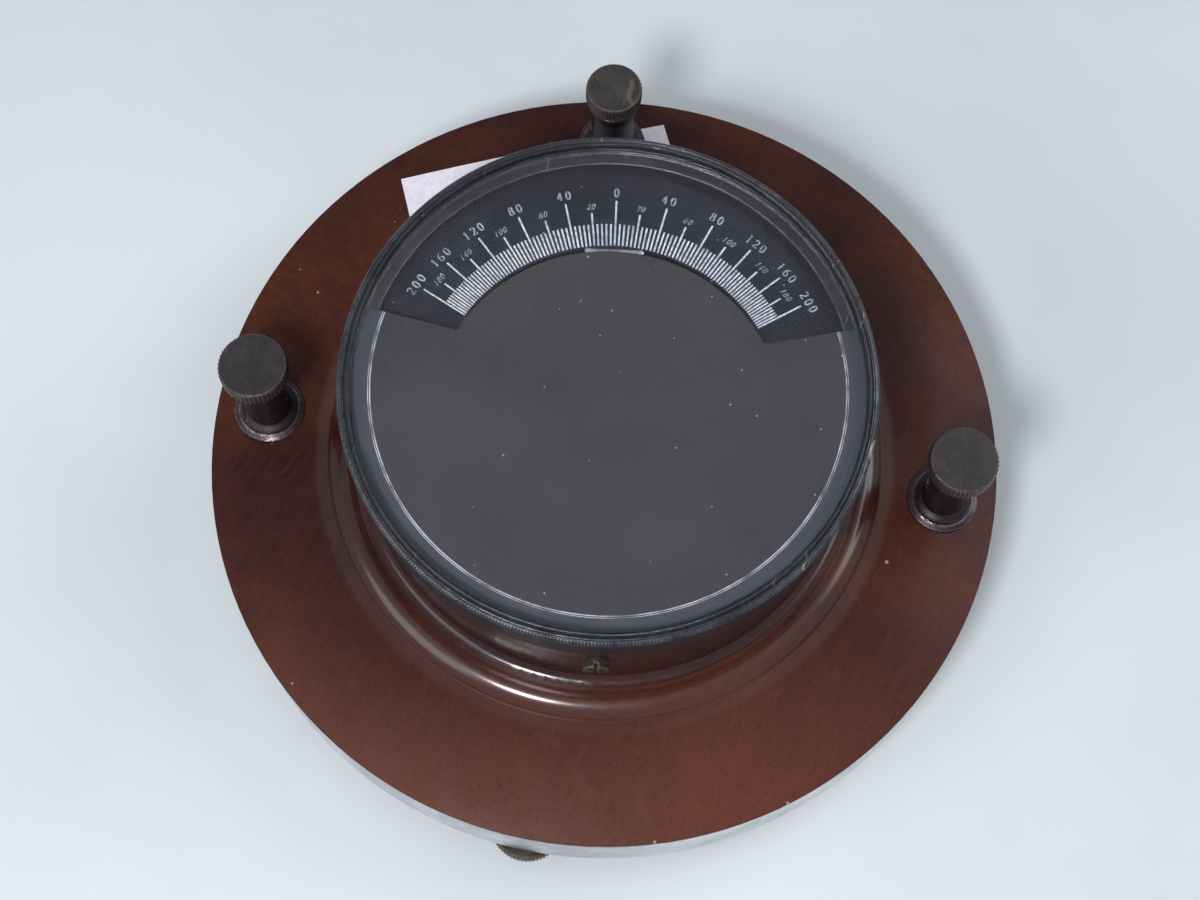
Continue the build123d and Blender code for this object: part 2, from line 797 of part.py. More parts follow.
# Bearing bridge over the coil, on two pillars
pillar_places = [(-pillar_x, pivot_y), (pillar_x, pivot_y)]
with BuildPart() as bridge_pillars:
    with BuildSketch(Plane.XY.offset(plate_top)):
        with Locations(*pillar_places):
            Circle(bridge_pillar_radius)
    extrude(amount=bridge_floor - plate_top)
    with BuildSketch(Plane.XY.offset(bridge_floor)):
        with Locations(*pillar_places):
            Circle(small_screw[0] + fixed_gap)
    extrude(amount=-small_screw[1], mode=Mode.SUBTRACT)
bridge_pillars.part.label = "bridge_pillars"
export_step(bridge_pillars.part, "parts/bridge_pillars.step")

with BuildPart() as bearing_bridge:
    with BuildSketch(Plane.XY.offset(bridge_floor)):
        with Locations((0, pivot_y)):
            SlotOverall(bridge_length, bridge_width)
            Circle(bearing_screw_radius + fixed_gap, mode=Mode.SUBTRACT)
        with Locations(*pillar_places):
            Circle(small_screw[0] + fixed_gap, mode=Mode.SUBTRACT)
    extrude(amount=bridge_thickness)
bearing_bridge.part.label = "bearing_bridge"
export_step(bearing_bridge.part, "parts/bearing_bridge.step")

bridge_screw_sizes = (small_screw[0], small_screw[1] + bridge_thickness, small_screw[2], small_screw[3])
bridge_screw_solids = [slotted_screw(flat_plane(x, y, bridge_top), bridge_screw_sizes) for x, y in pillar_places]
with BuildPart() as bridge_screws:
    add(bridge_screw_solids)
bridge_screws.part.label = "bridge_screws"
export_step(bridge_screws.part, "parts/bridge_screws.step")

# Bearing screws, each with a jewel let into its end
lower_jewel_floor = lower_screw_top - jewel_height
lower_bearing = turned(0, pivot_y, [
    (0, lower_screw_top - bearing_screw_length),
    (bearing_screw_radius, lower_screw_top - bearing_screw_length),
    (bearing_screw_radius, lower_screw_top),
    (jewel_radius, lower_screw_top),
    (jewel_radius, lower_jewel_floor),
    (0, lower_jewel_floor),
])
with BuildPart() as lower_bearing_screw:
    add(lower_bearing)
lower_bearing_screw.part.label = "lower_bearing_screw"
export_step(lower_bearing_screw.part, "parts/lower_bearing_screw.step")

upper_screw_top = bridge_top + bearing_screw_stand
upper_jewel_top = upper_screw_floor + jewel_height
upper_bearing = turned(0, pivot_y, [
    (0, upper_jewel_top),
    (jewel_radius, upper_jewel_top),
    (jewel_radius, upper_screw_floor),
    (bearing_screw_radius, upper_screw_floor),
    (bearing_screw_radius, upper_screw_top),
    (0, upper_screw_top),
])
with BuildPart() as upper_bearing_screw:
    add(upper_bearing)
    with BuildSketch(flat_plane(0, pivot_y, upper_screw_top)):
        Rectangle(3 * bearing_screw_radius, slot_width)
    extrude(amount=-slot_width, mode=Mode.SUBTRACT)
upper_bearing_screw.part.label = "upper_bearing_screw"
export_step(upper_bearing_screw.part, "parts/upper_bearing_screw.step")

jewel_bore = pivot_radius + running_gap
lower_cup = turned(0, pivot_y, [
    (0, lower_jewel_floor),
    (jewel_radius, lower_jewel_floor),
    (jewel_radius, lower_screw_top),
    (jewel_bore, lower_screw_top),
    (jewel_bore, lower_screw_top - jewel_bore_depth),
    (0, lower_screw_top - jewel_bore_depth),
])
with BuildPart() as lower_jewel:
    add(lower_cup)
lower_jewel.part.label = "lower_jewel"
export_step(lower_jewel.part, "parts/lower_jewel.step")

upper_cup = turned(0, pivot_y, [
    (0, upper_jewel_top),
    (jewel_radius, upper_jewel_top),
    (jewel_radius, upper_screw_floor),
    (jewel_bore, upper_screw_floor),
    (jewel_bore, upper_screw_floor + jewel_bore_depth),
    (0, upper_screw_floor + jewel_bore_depth),
])
with BuildPart() as upper_jewel:
    add(upper_cup)
upper_jewel.part.label = "upper_jewel"
export_step(upper_jewel.part, "parts/upper_jewel.step")

# Needle: staff with a pivot at each end, magnet, arm, weight, clip and index plate
lower_pivot_end = lower_screw_top - jewel_bore_depth + pivot_end_gap
upper_pivot_end = upper_screw_floor + jewel_bore_depth - pivot_end_gap
staff = turned(0, pivot_y, [
    (0, lower_pivot_end),
    (pivot_radius, lower_pivot_end),
    (pivot_radius, lower_pivot_end + pivot_length),
    (staff_radius, lower_pivot_end + pivot_length + staff_radius),
    (staff_radius, upper_pivot_end - pivot_length),
    (pivot_radius, upper_pivot_end - pivot_length),
    (pivot_radius, upper_pivot_end),
    (0, upper_pivot_end),
])
with BuildPart() as needle_staff:
    add(staff)
needle_staff.part.label = "needle_staff"
export_step(needle_staff.part, "parts/needle_staff.step")

with BuildPart() as needle_magnet:
    with BuildSketch(Plane.XY.offset(magnet_height - magnet_thickness / 2)):
        with BuildLine():
            half = magnet_length / 2
            flat = magnet_parallel_length / 2
            Polyline(
                (0, pivot_y + half),
                (magnet_width / 2, pivot_y + flat),
                (magnet_width / 2, pivot_y - flat),
                (0, pivot_y - half),
                (-magnet_width / 2, pivot_y - flat),
                (-magnet_width / 2, pivot_y + flat),
                close=True,
            )
        make_face()
        with Locations((0, pivot_y)):
            Circle(staff_radius, mode=Mode.SUBTRACT)
    extrude(amount=magnet_thickness)
needle_magnet.part.label = "needle_magnet"
export_step(needle_magnet.part, "parts/needle_magnet.step")

with BuildPart() as pointer_arm:
    bend_y = pivot_y + arm_bend_radius_at
    tip_y = pivot_y + index_inner_radius + arm_thickness
    with BuildSketch(Plane.YZ.offset(-arm_width / 2)):
        with BuildLine():
            Polyline(
                (pivot_y - tail_length, arm_floor),
                (bend_y, arm_floor),
                (tip_y + arm_thickness, index_floor),
                (tip_y - arm_thickness, index_floor),
                (bend_y - arm_thickness, arm_top),
                (pivot_y - tail_length, arm_top),
                close=True,
            )
        make_face()
    extrude(amount=arm_width)
    with BuildSketch(flat_plane(0, pivot_y, arm_floor)):
        Circle(hub_radius)
    extrude(amount=hub_height)
    with BuildSketch(flat_plane(0, pivot_y, arm_floor)):
        Circle(staff_radius)
    extrude(amount=hub_height, mode=Mode.SUBTRACT)
pointer_arm.part.label = "pointer_arm"
export_step(pointer_arm.part, "parts/pointer_arm.step")

with BuildPart() as counterweight:
    with BuildSketch(flat_plane(0, pivot_y - weight_at, arm_top)):
        Circle(weight_radius)
    extrude(amount=weight_height)
counterweight.part.label = "counterweight"
export_step(counterweight.part, "parts/counterweight.step")

with BuildPart() as index_plate:
    with BuildSketch(Plane.XY.offset(index_floor)):
        with Locations((0, pivot_y + (index_inner_radius + index_outer_radius) / 2)):
            Rectangle(index_width, index_outer_radius - index_inner_radius)
    extrude(amount=index_thickness)
index_plate.part.label = "index_plate"
export_step(index_plate.part, "parts/index_plate.step")

with BuildPart() as index_clip:
    clip_y = pivot_y + index_inner_radius + clip_depth / 2
    with BuildSketch(Plane.XY.offset(index_top)):
        with Locations((0, clip_y)):
            Rectangle(clip_width, clip_depth)
        with Locations((-clip_width / 2, clip_y), (clip_width / 2, clip_y)):
            Circle(clip_knob_radius)
    extrude(amount=clip_height)
index_clip.part.label = "index_clip"
export_step(index_clip.part, "parts/index_clip.step")

# Levelling screws: pointed shank with a collar, and the knurled disc on it
for name, (x, y) in zip(foot_names, foot_places):
    collar_floor = disc_floor - collar_gap - collar_height
    shank = turned(x, y, [
        (0, 0),
        (tip_radius, 0),
        (shank_radius, tip_height),
        (shank_radius, collar_floor),
        (collar_radius, collar_floor),
        (collar_radius, collar_floor + collar_height),
        (shank_radius, collar_floor + collar_height),
        (shank_radius, shank_top),
        (0, shank_top),
    ])
    with BuildPart() as levelling_screw:
        add(shank)
    levelling_screw.part.label = name + "_levelling_screw"
    export_step(levelling_screw.part, "parts/" + name + "_levelling_screw.step")

    disc_rim = toothed_outline(x, y, disc_radius, disc_tooth_depth, disc_teeth, disc_floor)
    disc_blank = turned(x, y, [
        (shank_radius + running_gap, disc_floor),
        (disc_radius - disc_edge, disc_floor),
        (disc_radius, disc_floor + disc_edge),
        (disc_radius, disc_top - disc_edge),
        (disc_radius - disc_edge, disc_top),
        (shank_radius + running_gap, disc_top),
    ])
    with BuildPart() as levelling_disc:
        add(disc_rim)
        extrude(amount=disc_height)
        add(disc_blank, mode=Mode.INTERSECT)
    levelling_disc.part.label = name + "_levelling_disc"
    export_step(levelling_disc.part, "parts/" + name + "_levelling_disc.step")

# Terminal washers and nuts, one of each to a pillar
washer_solids = []
nut_solids = []
for x, y in terminal_places.values():
    washer_solids.append(turned(x, y, [
        (terminal_shank_radius + fixed_gap, terminal_seat),
        (washer_radius, terminal_seat),
        (washer_radius, terminal_seat + washer_rim_height),
        (washer_step_radius, terminal_seat + washer_slope_height),
        (washer_step_radius, terminal_seat + washer_height),
        (terminal_shank_radius + fixed_gap, terminal_seat + washer_height),
    ]))
    nut_solids.append(turned(x, y, [
        (terminal_shank_radius + fixed_gap, nut_floor),
        (nut_radius, nut_floor),
        (nut_radius, nut_floor + nut_height),
        (terminal_shank_radius + fixed_gap, nut_floor + nut_height),
    ]))
with BuildPart() as terminal_washers:
    add(washer_solids)
terminal_washers.part.label = "terminal_washers"
export_step(terminal_washers.part, "parts/terminal_washers.step")
with BuildPart() as terminal_nuts:
    add(nut_solids)
terminal_nuts.part.label = "terminal_nuts"
export_step(terminal_nuts.part, "parts/terminal_nuts.step")

# Terminals: pillar with its wire hole, clamp screw, and knurled head on the screw
for name, (turn, head_radius) in terminals.items():
    x, y = terminal_places[name]
    pillar_floor = terminal_seat + washer_height
    foot_end = pillar_floor + pillar_foot_height
    clamp_bore_floor = clamp_shoulder - clamp_travel - collar_gap
    column = turned(x, y, [
        (0, nut_floor - shank_tail),
        (terminal_shank_radius, nut_floor - shank_tail),
        (terminal_shank_radius, pillar_floor),
        (pillar_foot_radius, pillar_floor),
        (pillar_foot_radius, pillar_floor + pillar_foot_height / 2),
        (pillar_radius, foot_end),
        (pillar_radius, pillar_top - pillar_neck_height),
        (pillar_neck_radius, pillar_top),
        (0, pillar_top),
    ])
    with BuildPart() as terminal_pillar:
        add(column)
        with BuildSketch(flat_plane(x, y, pillar_top)):
            Circle(clamp_radius + running_gap)
        extrude(amount=clamp_bore_floor - pillar_top, mode=Mode.SUBTRACT)
        with BuildSketch(flat_plane(x, y, pillar_top)):
            Circle(clamp_tip_radius + running_gap)
        extrude(amount=wire_hole_height - pillar_top, mode=Mode.SUBTRACT)
        with BuildSketch(Plane(origin=(x, y, wire_hole_height), z_dir=(1, 0, 0))):
            Circle(wire_hole_radius)
        extrude(amount=2 * pillar_radius, both=True, mode=Mode.SUBTRACT)
    terminal_pillar.part.label = name + "_terminal_pillar"
    export_step(terminal_pillar.part, "parts/" + name + "_terminal_pillar.step")

    clamp_collar_top = clamp_collar_floor + clamp_collar_height
    clamp = turned(x, y, [
        (0, clamp_tip_end),
        (clamp_tip_radius, clamp_tip_end),
        (clamp_tip_radius, clamp_shoulder),
        (clamp_radius, clamp_shoulder),
        (clamp_radius, clamp_collar_floor),
        (clamp_collar_radius, clamp_collar_floor),
        (clamp_collar_radius, clamp_collar_top),
        (clamp_radius, clamp_collar_top),
        (clamp_radius, socket_top - collar_gap),
        (0, socket_top - collar_gap),
    ])
    with BuildPart() as clamp_screw:
        add(clamp)
    clamp_screw.part.label = name + "_clamp_screw"
    export_step(clamp_screw.part, "parts/" + name + "_clamp_screw.step")

    head_rim = toothed_outline(x, y, head_radius, head_tooth_depth, head_teeth, head_floor)
    head_blank = turned(x, y, [
        (clamp_radius + running_gap, head_floor),
        (head_radius - head_bottom_edge, head_floor),
        (head_radius, head_floor + head_bottom_edge),
        (head_radius, head_top - head_top_edge),
        (head_radius - head_top_edge, head_top),
        (0, head_top),
        (0, socket_top),
        (clamp_radius + running_gap, socket_top),
    ])
    with BuildPart() as clamp_head:
        add(head_rim)
        extrude(amount=head_height)
        add(head_blank, mode=Mode.INTERSECT)
    clamp_head.part.label = name + "_clamp_head"
    export_step(clamp_head.part, "parts/" + name + "_clamp_head.step")

# Leads: along the groove, up through base and plate, and over to the coil former
lead_ends = {
    "left": (-coil_half_width, pivot_y),
    "right": (coil_half_width, pivot_y),
    "rear": (lead_rear[0], pivot_y + flange_length / 2),
}
for name, (tx, ty) in terminal_places.items():
    hx, hy = lead_holes[name]
    run = sqrt((hx - tx) ** 2 + (hy - ty) ** 2)
    away = (nut_radius + fixed_gap) / run
    start_x, start_y = tx + (hx - tx) * away, ty + (hy - ty) * away
    end_x, end_y = lead_ends[name]
    with BuildPart() as lead:
        with BuildLine() as route:
            FilletPolyline(
                (start_x, start_y, lead_height),
                (hx, hy, lead_height),
                (hx, hy, lead_top),
                (end_x, end_y, lead_top),
                radius=min(lead_bend, lead_bend_share * (abs(hx - end_x) + abs(hy - end_y))),
            )
        with BuildSketch(Plane(origin=route.line @ 0, z_dir=route.line % 0)):
            Circle(wire_radius)
        sweep()
    lead.part.label = name + "_lead"
    export_step(lead.part, "parts/" + name + "_lead.step")

# Paper strip that lies on the domed top round the rear terminal's washer
rear_x, rear_y = terminal_places["rear"]
label_centre = (rear_x + label_offset_x, rear_y + label_offset_y)
dome_reach = base_radius - edge_round
with BuildPart() as paper_label:
    with BuildSketch(Plane.XY.offset(base_top - dome_drop)):
        with Locations(Location((label_centre[0], label_centre[1], 0), (0, 0, label_turn))):
            Rectangle(label_length, label_width)
        with Locations(terminal_places["rear"]):
            Circle(washer_radius + fixed_gap, mode=Mode.SUBTRACT)
    extrude(amount=2 * dome_drop)
    with BuildSketch(upright(0, 0)):
        with BuildLine():
            reach_drop = dome_radius - sqrt(dome_radius**2 - (dome_reach - dome_start_radius) ** 2)
            low = base_top + fixed_gap
            high = low + label_thickness
            Polyline((0, high), (0, low), (dome_start_radius, low))
            RadiusArc((dome_start_radius, low), (dome_reach, low - reach_drop), dome_radius)
            Line((dome_reach, low - reach_drop), (dome_reach, high - reach_drop))
            RadiusArc((dome_reach, high - reach_drop), (dome_start_radius, high), -dome_radius)
            Line((dome_start_radius, high), (0, high))
        make_face()
    revolve(axis=case_axis, mode=Mode.INTERSECT)
paper_label.part.label = "paper_label"
export_step(paper_label.part, "parts/paper_label.step")
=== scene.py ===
from math import cos, pi, radians, sin

import bpy
import numpy as np
from mathutils import Matrix


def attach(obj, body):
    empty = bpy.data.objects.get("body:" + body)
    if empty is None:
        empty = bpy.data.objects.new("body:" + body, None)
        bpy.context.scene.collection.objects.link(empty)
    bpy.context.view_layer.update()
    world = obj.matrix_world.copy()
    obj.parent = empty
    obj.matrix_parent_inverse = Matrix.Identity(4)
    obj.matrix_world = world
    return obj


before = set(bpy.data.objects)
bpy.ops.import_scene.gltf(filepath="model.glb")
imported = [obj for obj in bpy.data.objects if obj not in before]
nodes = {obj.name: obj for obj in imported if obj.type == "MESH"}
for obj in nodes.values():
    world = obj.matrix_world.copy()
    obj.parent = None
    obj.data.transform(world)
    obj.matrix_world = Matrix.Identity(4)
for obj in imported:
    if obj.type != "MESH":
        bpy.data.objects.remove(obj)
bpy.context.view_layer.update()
mm = 0.001
print("frame loaded:", len(nodes), "nodes")


# camera and lamps

def stand(holder, x, y, z, spot):       # puts an object at a spot, its three axes given as directions
    rows = np.column_stack([x, y, z, spot]).tolist() + [[0, 0, 0, 1]]
    holder.matrix_world = Matrix(rows)


view = {
    "spot": (-0.00117, -0.14666, 0.46163),
    "tilt": radians(71.10),        # height of the line of sight above the table
    "roll": radians(2.56),
    "lens": 59.13,
    "film": 36,
    "near": 0.01,
}


def placeCamera(v):
    camera = bpy.data.objects.new("camera", bpy.data.cameras.new("camera"))
    bpy.context.collection.objects.link(camera)
    camera.data.lens = v["lens"]
    camera.data.sensor_width = v["film"]
    camera.data.clip_start = v["near"]
    right = np.array([1.0, 0, 0])
    up = np.array([0, sin(v["tilt"]), cos(v["tilt"])])
    back = np.array([0, -cos(v["tilt"]), sin(v["tilt"])])
    rolledRight = cos(v["roll"]) * right + sin(v["roll"]) * up
    rolledUp = cos(v["roll"]) * up - sin(v["roll"]) * right
    stand(camera, rolledRight, rolledUp, back, v["spot"])
    bpy.context.scene.camera = camera


lamps = {
    "flash": {"spot": (-0.13, -0.30, 0.58), "size": 0.12, "watts": 2.3, "colour": (1.0, 0.985, 0.98)},
    "softLeft": {"spot": (-0.55, -0.35, 0.60), "size": 0.50, "watts": 1.4, "colour": (0.93, 0.95, 1.0)},
    "softRight": {"spot": (0.60, 0.25, 0.75), "size": 0.60, "watts": 2.7, "colour": (0.96, 0.97, 1.0)},
}
lampAim = (0, 0, 0.03)


def placeLamp(name, v):
    lamp = bpy.data.lights.new(name, "AREA")
    lamp.shape = "DISK"
    lamp.size = v["size"]
    lamp.energy = v["watts"]
    lamp.color = v["colour"]
    holder = bpy.data.objects.new(name, lamp)
    bpy.context.collection.objects.link(holder)
    z = np.array(v["spot"]) - np.array(lampAim)
    z = z / np.linalg.norm(z)
    x = np.cross([0, 1, 0], z)
    x = x / np.linalg.norm(x)
    stand(holder, x, np.cross(z, x), z, v["spot"])


placeCamera(view)
for name, v in lamps.items():
    placeLamp(name, v)
bpy.context.scene.view_settings.view_transform = "Standard"
print("camera and lamps placed")


# short ways to write node trees

def feed(tree, socket, value):          # a socket takes a link or a plain value
    if isinstance(value, bpy.types.NodeSocket):
        tree.links.new(value, socket)
    else:
        socket.default_value = value


def put(tree, kind, sockets=None, **settings):
    node = tree.nodes.new(kind)
    for key, value in settings.items():
        setattr(node, key, value)
    for key, value in (sockets or {}).items():
        feed(tree, node.inputs[key], value)
    return node


def calc(tree, operation, a, b=0.0, clamp=False):
    return put(tree, "ShaderNodeMath", {0: a, 1: b}, operation=operation, use_clamp=clamp).outputs[0]


def plus(tree, a, b, clamp=False):
    return calc(tree, "ADD", a, b, clamp)


def minus(tree, a, b, clamp=False):
    return calc(tree, "SUBTRACT", a, b, clamp)


def times(tree, a, b, clamp=False):
    return calc(tree, "MULTIPLY", a, b, clamp)


def ramp(tree, value, low, high, outLow=0.0, outHigh=1.0):      # smooth step from low to high
    limits = {"Value": value, "From Min": low, "From Max": high, "To Min": outLow, "To Max": outHigh}
    return put(tree, "ShaderNodeMapRange", limits, interpolation_type="SMOOTHSTEP").outputs[0]


def mixTint(tree, factor, a, b):
    node = put(tree, "ShaderNodeMix", data_type="RGBA")
    feed(tree, node.inputs[0], factor)
    feed(tree, node.inputs[6], a)
    feed(tree, node.inputs[7], b)
    return node.outputs[2]


def shade(r, g, b):
    return (r, g, b, 1.0)


def srgb(r, g, b):              # 0 to 255 numbers, as in a picture, to a linear colour
    c = np.array([r, g, b]) / 255.0
    c = np.where(c <= 0.04045, c / 12.92, ((c + 0.055) / 1.055) ** 2.4)
    return shade(*c.tolist())


def noise(tree, vector, scale, detail=4.0, rough=0.55, warp=0.0):
    return put(tree, "ShaderNodeTexNoise", {"Vector": vector, "Scale": scale, "Detail": detail,
               "Roughness": rough, "Distortion": warp}).outputs[0]


def wave(tree, vector, scale, warp, detail, **sockets):         # bands that follow a sine
    return put(tree, "ShaderNodeTexWave", {"Vector": vector, "Scale": scale, "Distortion": warp,
               "Detail": detail, **sockets}, wave_type="BANDS", wave_profile="SIN").outputs[1]


def stretch(tree, vector, turn, scale):         # turns and squeezes the pattern space
    return put(tree, "ShaderNodeMapping", {"Vector": vector, "Rotation": turn, "Scale": scale}).outputs[0]


def enlarge(tree, vector, scale):
    return put(tree, "ShaderNodeVectorMath", {0: vector, "Scale": scale}, operation="SCALE").outputs[0]


def fromAxis(tree, vector):     # distance from the upright axis, and the three coordinates
    parts = put(tree, "ShaderNodeSeparateXYZ", {0: vector}).outputs
    flat = put(tree, "ShaderNodeCombineXYZ", {0: parts[0], 1: parts[1]}).outputs[0]
    return put(tree, "ShaderNodeVectorMath", {0: flat}, operation="LENGTH").outputs["Value"], parts


def openGroup(name, inputs, outputs):
    tree = bpy.data.node_groups.new(name, "ShaderNodeTree")
    for key, kind, value in inputs:
        socket = tree.interface.new_socket(key, in_out="INPUT", socket_type="NodeSocket" + kind)
        if value is not None:
            socket.default_value = value
    for key, kind in outputs:
        tree.interface.new_socket(key, in_out="OUTPUT", socket_type="NodeSocket" + kind)
    return tree, tree.nodes.new("NodeGroupInput").outputs, tree.nodes.new("NodeGroupOutput").inputs


def useGroup(tree, group, sockets):
    node = tree.nodes.new("ShaderNodeGroup")
    node.node_tree = group
    for key, value in sockets.items():
        feed(tree, node.inputs[key], value)
    return node.outputs


# shared effects, each with the values of its pattern; a pair is where a smooth step starts and ends

figurePattern = {
    "bendScale": 18.0, "bend": 0.006, "streakSqueeze": 9.0, "streakScale": 38.0, "rippleSqueeze": 3.2,
    "rippleScale": 70.0, "poreSqueeze": 6.5, "poreScale": 240.0, "poreStep": (0.56, 0.70), "patchScale": 9.0,
    "streakHeight": 0.5, "poreDepth": 0.6,
}


def woodFigureGroup(v):         # grain streaks, cross ripple, pores and slow patches from stretched noise
    tree, a, z = openGroup("woodFigure",
        [("Vector", "Vector", None), ("Turn", "Vector", (0, 0, 0)), ("Fibre", "Float", 1.0)],
        [(key, "Float") for key in ("Streak", "Ripple", "Pores", "Patch", "Height")])
    turned = put(tree, "ShaderNodeVectorRotate", {"Vector": a["Vector"], "Rotation": a["Turn"]},
                 rotation_type="EULER_XYZ").outputs[0]
    sized = enlarge(tree, turned, a["Fibre"])
    drift = put(tree, "ShaderNodeTexNoise",
                {"Vector": sized, "Scale": v["bendScale"], "Detail": 2.0}).outputs[1]
    bent = put(tree, "ShaderNodeVectorMath", {0: drift, 1: (v["bend"],) * 3, 2: sized},
               operation="MULTIPLY_ADD").outputs[0]
    along = stretch(tree, bent, (0, 0, 0), (1.0, v["streakSqueeze"], v["streakSqueeze"]))
    streak = noise(tree, along, v["streakScale"], 8.0, 0.62, 0.4)
    across = stretch(tree, bent, (0, 0, 0), (v["rippleSqueeze"], 1.0, 1.0))
    ripple = noise(tree, across, v["rippleScale"], 4.0, 0.6, 0.6)
    fine = stretch(tree, bent, (0, 0, 0), (1.0, v["poreSqueeze"], v["poreSqueeze"]))
    pores = ramp(tree, noise(tree, fine, v["poreScale"], 2.0, 0.5), *v["poreStep"])
    patch = noise(tree, bent, v["patchScale"], 3.0, 0.5, 0.5)
    height = minus(tree, times(tree, streak, v["streakHeight"]), times(tree, pores, v["poreDepth"]))
    made = {"Streak": streak, "Ripple": ripple, "Pores": pores, "Patch": patch, "Height": height}
    for key, value in made.items():
        tree.links.new(value, z[key])
    return tree


scratchPattern = {"turnAndBend": ((0.5, 7.0), (2.1, 9.0), (1.2, 12.0)), "lean": 0.7, "crest": (0.988, 0.999),
                  "gateScale": 90.0, "gate": (0.56, 0.66)}


def scratchGroup(v):            # thin hair lines: crests of bent waves at three turns, cut short by noise
    tree, a, z = openGroup("hairScratches",
        [("Vector", "Vector", None), ("Scale", "Float", 60.0), ("Amount", "Float", 0.5)], [("Mask", "Float")])
    lines = []
    for turn, bend in v["turnAndBend"]:
        turned = stretch(tree, a["Vector"], (turn, turn * v["lean"], turn), (1, 1, 1))
        bands = wave(tree, turned, a["Scale"], bend, 2.0, **{"Detail Scale": 0.6})
        gate = ramp(tree, noise(tree, turned, v["gateScale"], 3.0), *v["gate"])
        lines.append(times(tree, ramp(tree, bands, *v["crest"]), gate))
    both = calc(tree, "MAXIMUM", calc(tree, "MAXIMUM", lines[0], lines[1]), lines[2])
    tree.links.new(times(tree, both, a["Amount"], True), z["Mask"])
    return tree


largestFleck = 0.22             # share of a cell


def fleckGroup():               # scattered specks: small cells kept only where a random number is low
    tree, a, z = openGroup("dustFlecks",
        [("Vector", "Vector", None), ("Scale", "Float", 600.0), ("Share", "Float", 0.1)], [("Mask", "Float")])
    cells = put(tree, "ShaderNodeTexVoronoi", {"Vector": a["Vector"], "Scale": a["Scale"]})
    pick = put(tree, "ShaderNodeSeparateColor", {0: cells.outputs["Color"]})
    keep = calc(tree, "LESS_THAN", pick.outputs[0], a["Share"])
    size = times(tree, pick.outputs[1], largestFleck)
    inside = calc(tree, "LESS_THAN", cells.outputs["Distance"], size)
    tree.links.new(times(tree, keep, inside), z["Mask"])
    return tree


rubPattern = {"lean": (0.02, 0.22), "patchScale": 900.0, "patch": (0.38, 0.62), "least": 0.25}


def rubGroup(v):                # edges worn bright, where a rounded normal leaves the true one
    tree, a, z = openGroup("rubbedEdges",
        [("Vector", "Vector", None), ("Width", "Float", 0.0004), ("Amount", "Float", 1.0)],
        [("Mask", "Float"), ("Normal", "Vector")])
    soft = put(tree, "ShaderNodeBevel", {"Radius": a["Width"]}, samples=6).outputs[0]
    true = tree.nodes.new("ShaderNodeNewGeometry").outputs["Normal"]
    lean = put(tree, "ShaderNodeVectorMath", {0: soft, 1: true}, operation="DOT_PRODUCT").outputs["Value"]
    edge = ramp(tree, minus(tree, 1.0, lean), *v["lean"])
    patchy = ramp(tree, noise(tree, a["Vector"], v["patchScale"], 4.0, 0.6), *v["patch"], v["least"], 1.0)
    tree.links.new(times(tree, times(tree, edge, patchy), a["Amount"], True), z["Mask"])
    tree.links.new(soft, z["Normal"])
    return tree


marksAround = 0.7               # how quickly a turning mark changes along its ring


def latheGroup():               # turning marks: noise read along the distance from an upright axis
    tree, a, z = openGroup("latheMarks",
        [("Vector", "Vector", None), ("Axis", "Vector", (0, 0, 0)), ("Pitch", "Float", 4000.0)],
        [("Rings", "Float"), ("Radius", "Float")])
    off = put(tree, "ShaderNodeVectorMath", {0: a["Vector"], 1: a["Axis"]}, operation="SUBTRACT").outputs[0]
    radius, parts = fromAxis(tree, off)
    around = calc(tree, "ARCTAN2", parts[1], parts[0])
    line = put(tree, "ShaderNodeCombineXYZ", {0: times(tree, radius, a["Pitch"]),
               1: times(tree, parts[2], a["Pitch"]), 2: times(tree, around, marksAround)}).outputs[0]
    tree.links.new(noise(tree, line, 1.0, 3.0, 0.6), z["Rings"])
    tree.links.new(radius, z["Radius"])
    return tree


cloudPattern = {"finer": 9.0, "bigShare": 0.65, "smallShare": 0.35, "step": (0.36, 0.64)}


def tarnishGroup(v):            # cloudy change between two tones at two sizes
    tree, a, z = openGroup("tarnish",
        [("Vector", "Vector", None), ("Scale", "Float", 90.0), ("Dark", "Color", (0, 0, 0, 1)),
         ("Light", "Color", (1, 1, 1, 1))],
        [("Tint", "Color"), ("Cloud", "Float")])
    big = noise(tree, a["Vector"], a["Scale"], 5.0, 0.6, 0.5)
    small = noise(tree, enlarge(tree, a["Vector"], v["finer"]), a["Scale"], 3.0, 0.6)
    cloud = plus(tree, times(tree, big, v["bigShare"]), times(tree, small, v["smallShare"]))
    cloud = ramp(tree, cloud, *v["step"])
    tree.links.new(mixTint(tree, cloud, a["Dark"], a["Light"]), z["Tint"])
    tree.links.new(cloud, z["Cloud"])
    return tree


woodFigure = woodFigureGroup(figurePattern)
hairScratches = scratchGroup(scratchPattern)
dustFlecks = fleckGroup()
rubbedEdges = rubGroup(rubPattern)
latheMarks = latheGroup()
tarnish = tarnishGroup(cloudPattern)
print("shared effects made")


# materials

def openMaterial(name):
    material = bpy.data.materials.new(name)
    material.use_nodes = True
    tree = material.node_tree
    tree.nodes.clear()
    body = tree.nodes.new("ShaderNodeBsdfPrincipled")
    end = tree.nodes.new("ShaderNodeOutputMaterial")
    tree.links.new(body.outputs[0], end.inputs[0])
    place = tree.nodes.new("ShaderNodeTexCoord").outputs["Object"]
    return material, tree, body, place


def setAll(body, sockets):
    for key, value in sockets.items():
        feed(body.id_data, body.inputs[key], value)


def bumpFrom(tree, height, strength, distance, **normal):
    return put(tree, "ShaderNodeBump", {"Height": height, "Strength": strength, "Distance": distance,
               **normal}).outputs[0]


def clouded(tree, place, v):            # two tones of one finish
    return useGroup(tree, tarnish, {"Vector": place, "Scale": v["cloud"], "Dark": v["dark"],
                    "Light": v["light"]})


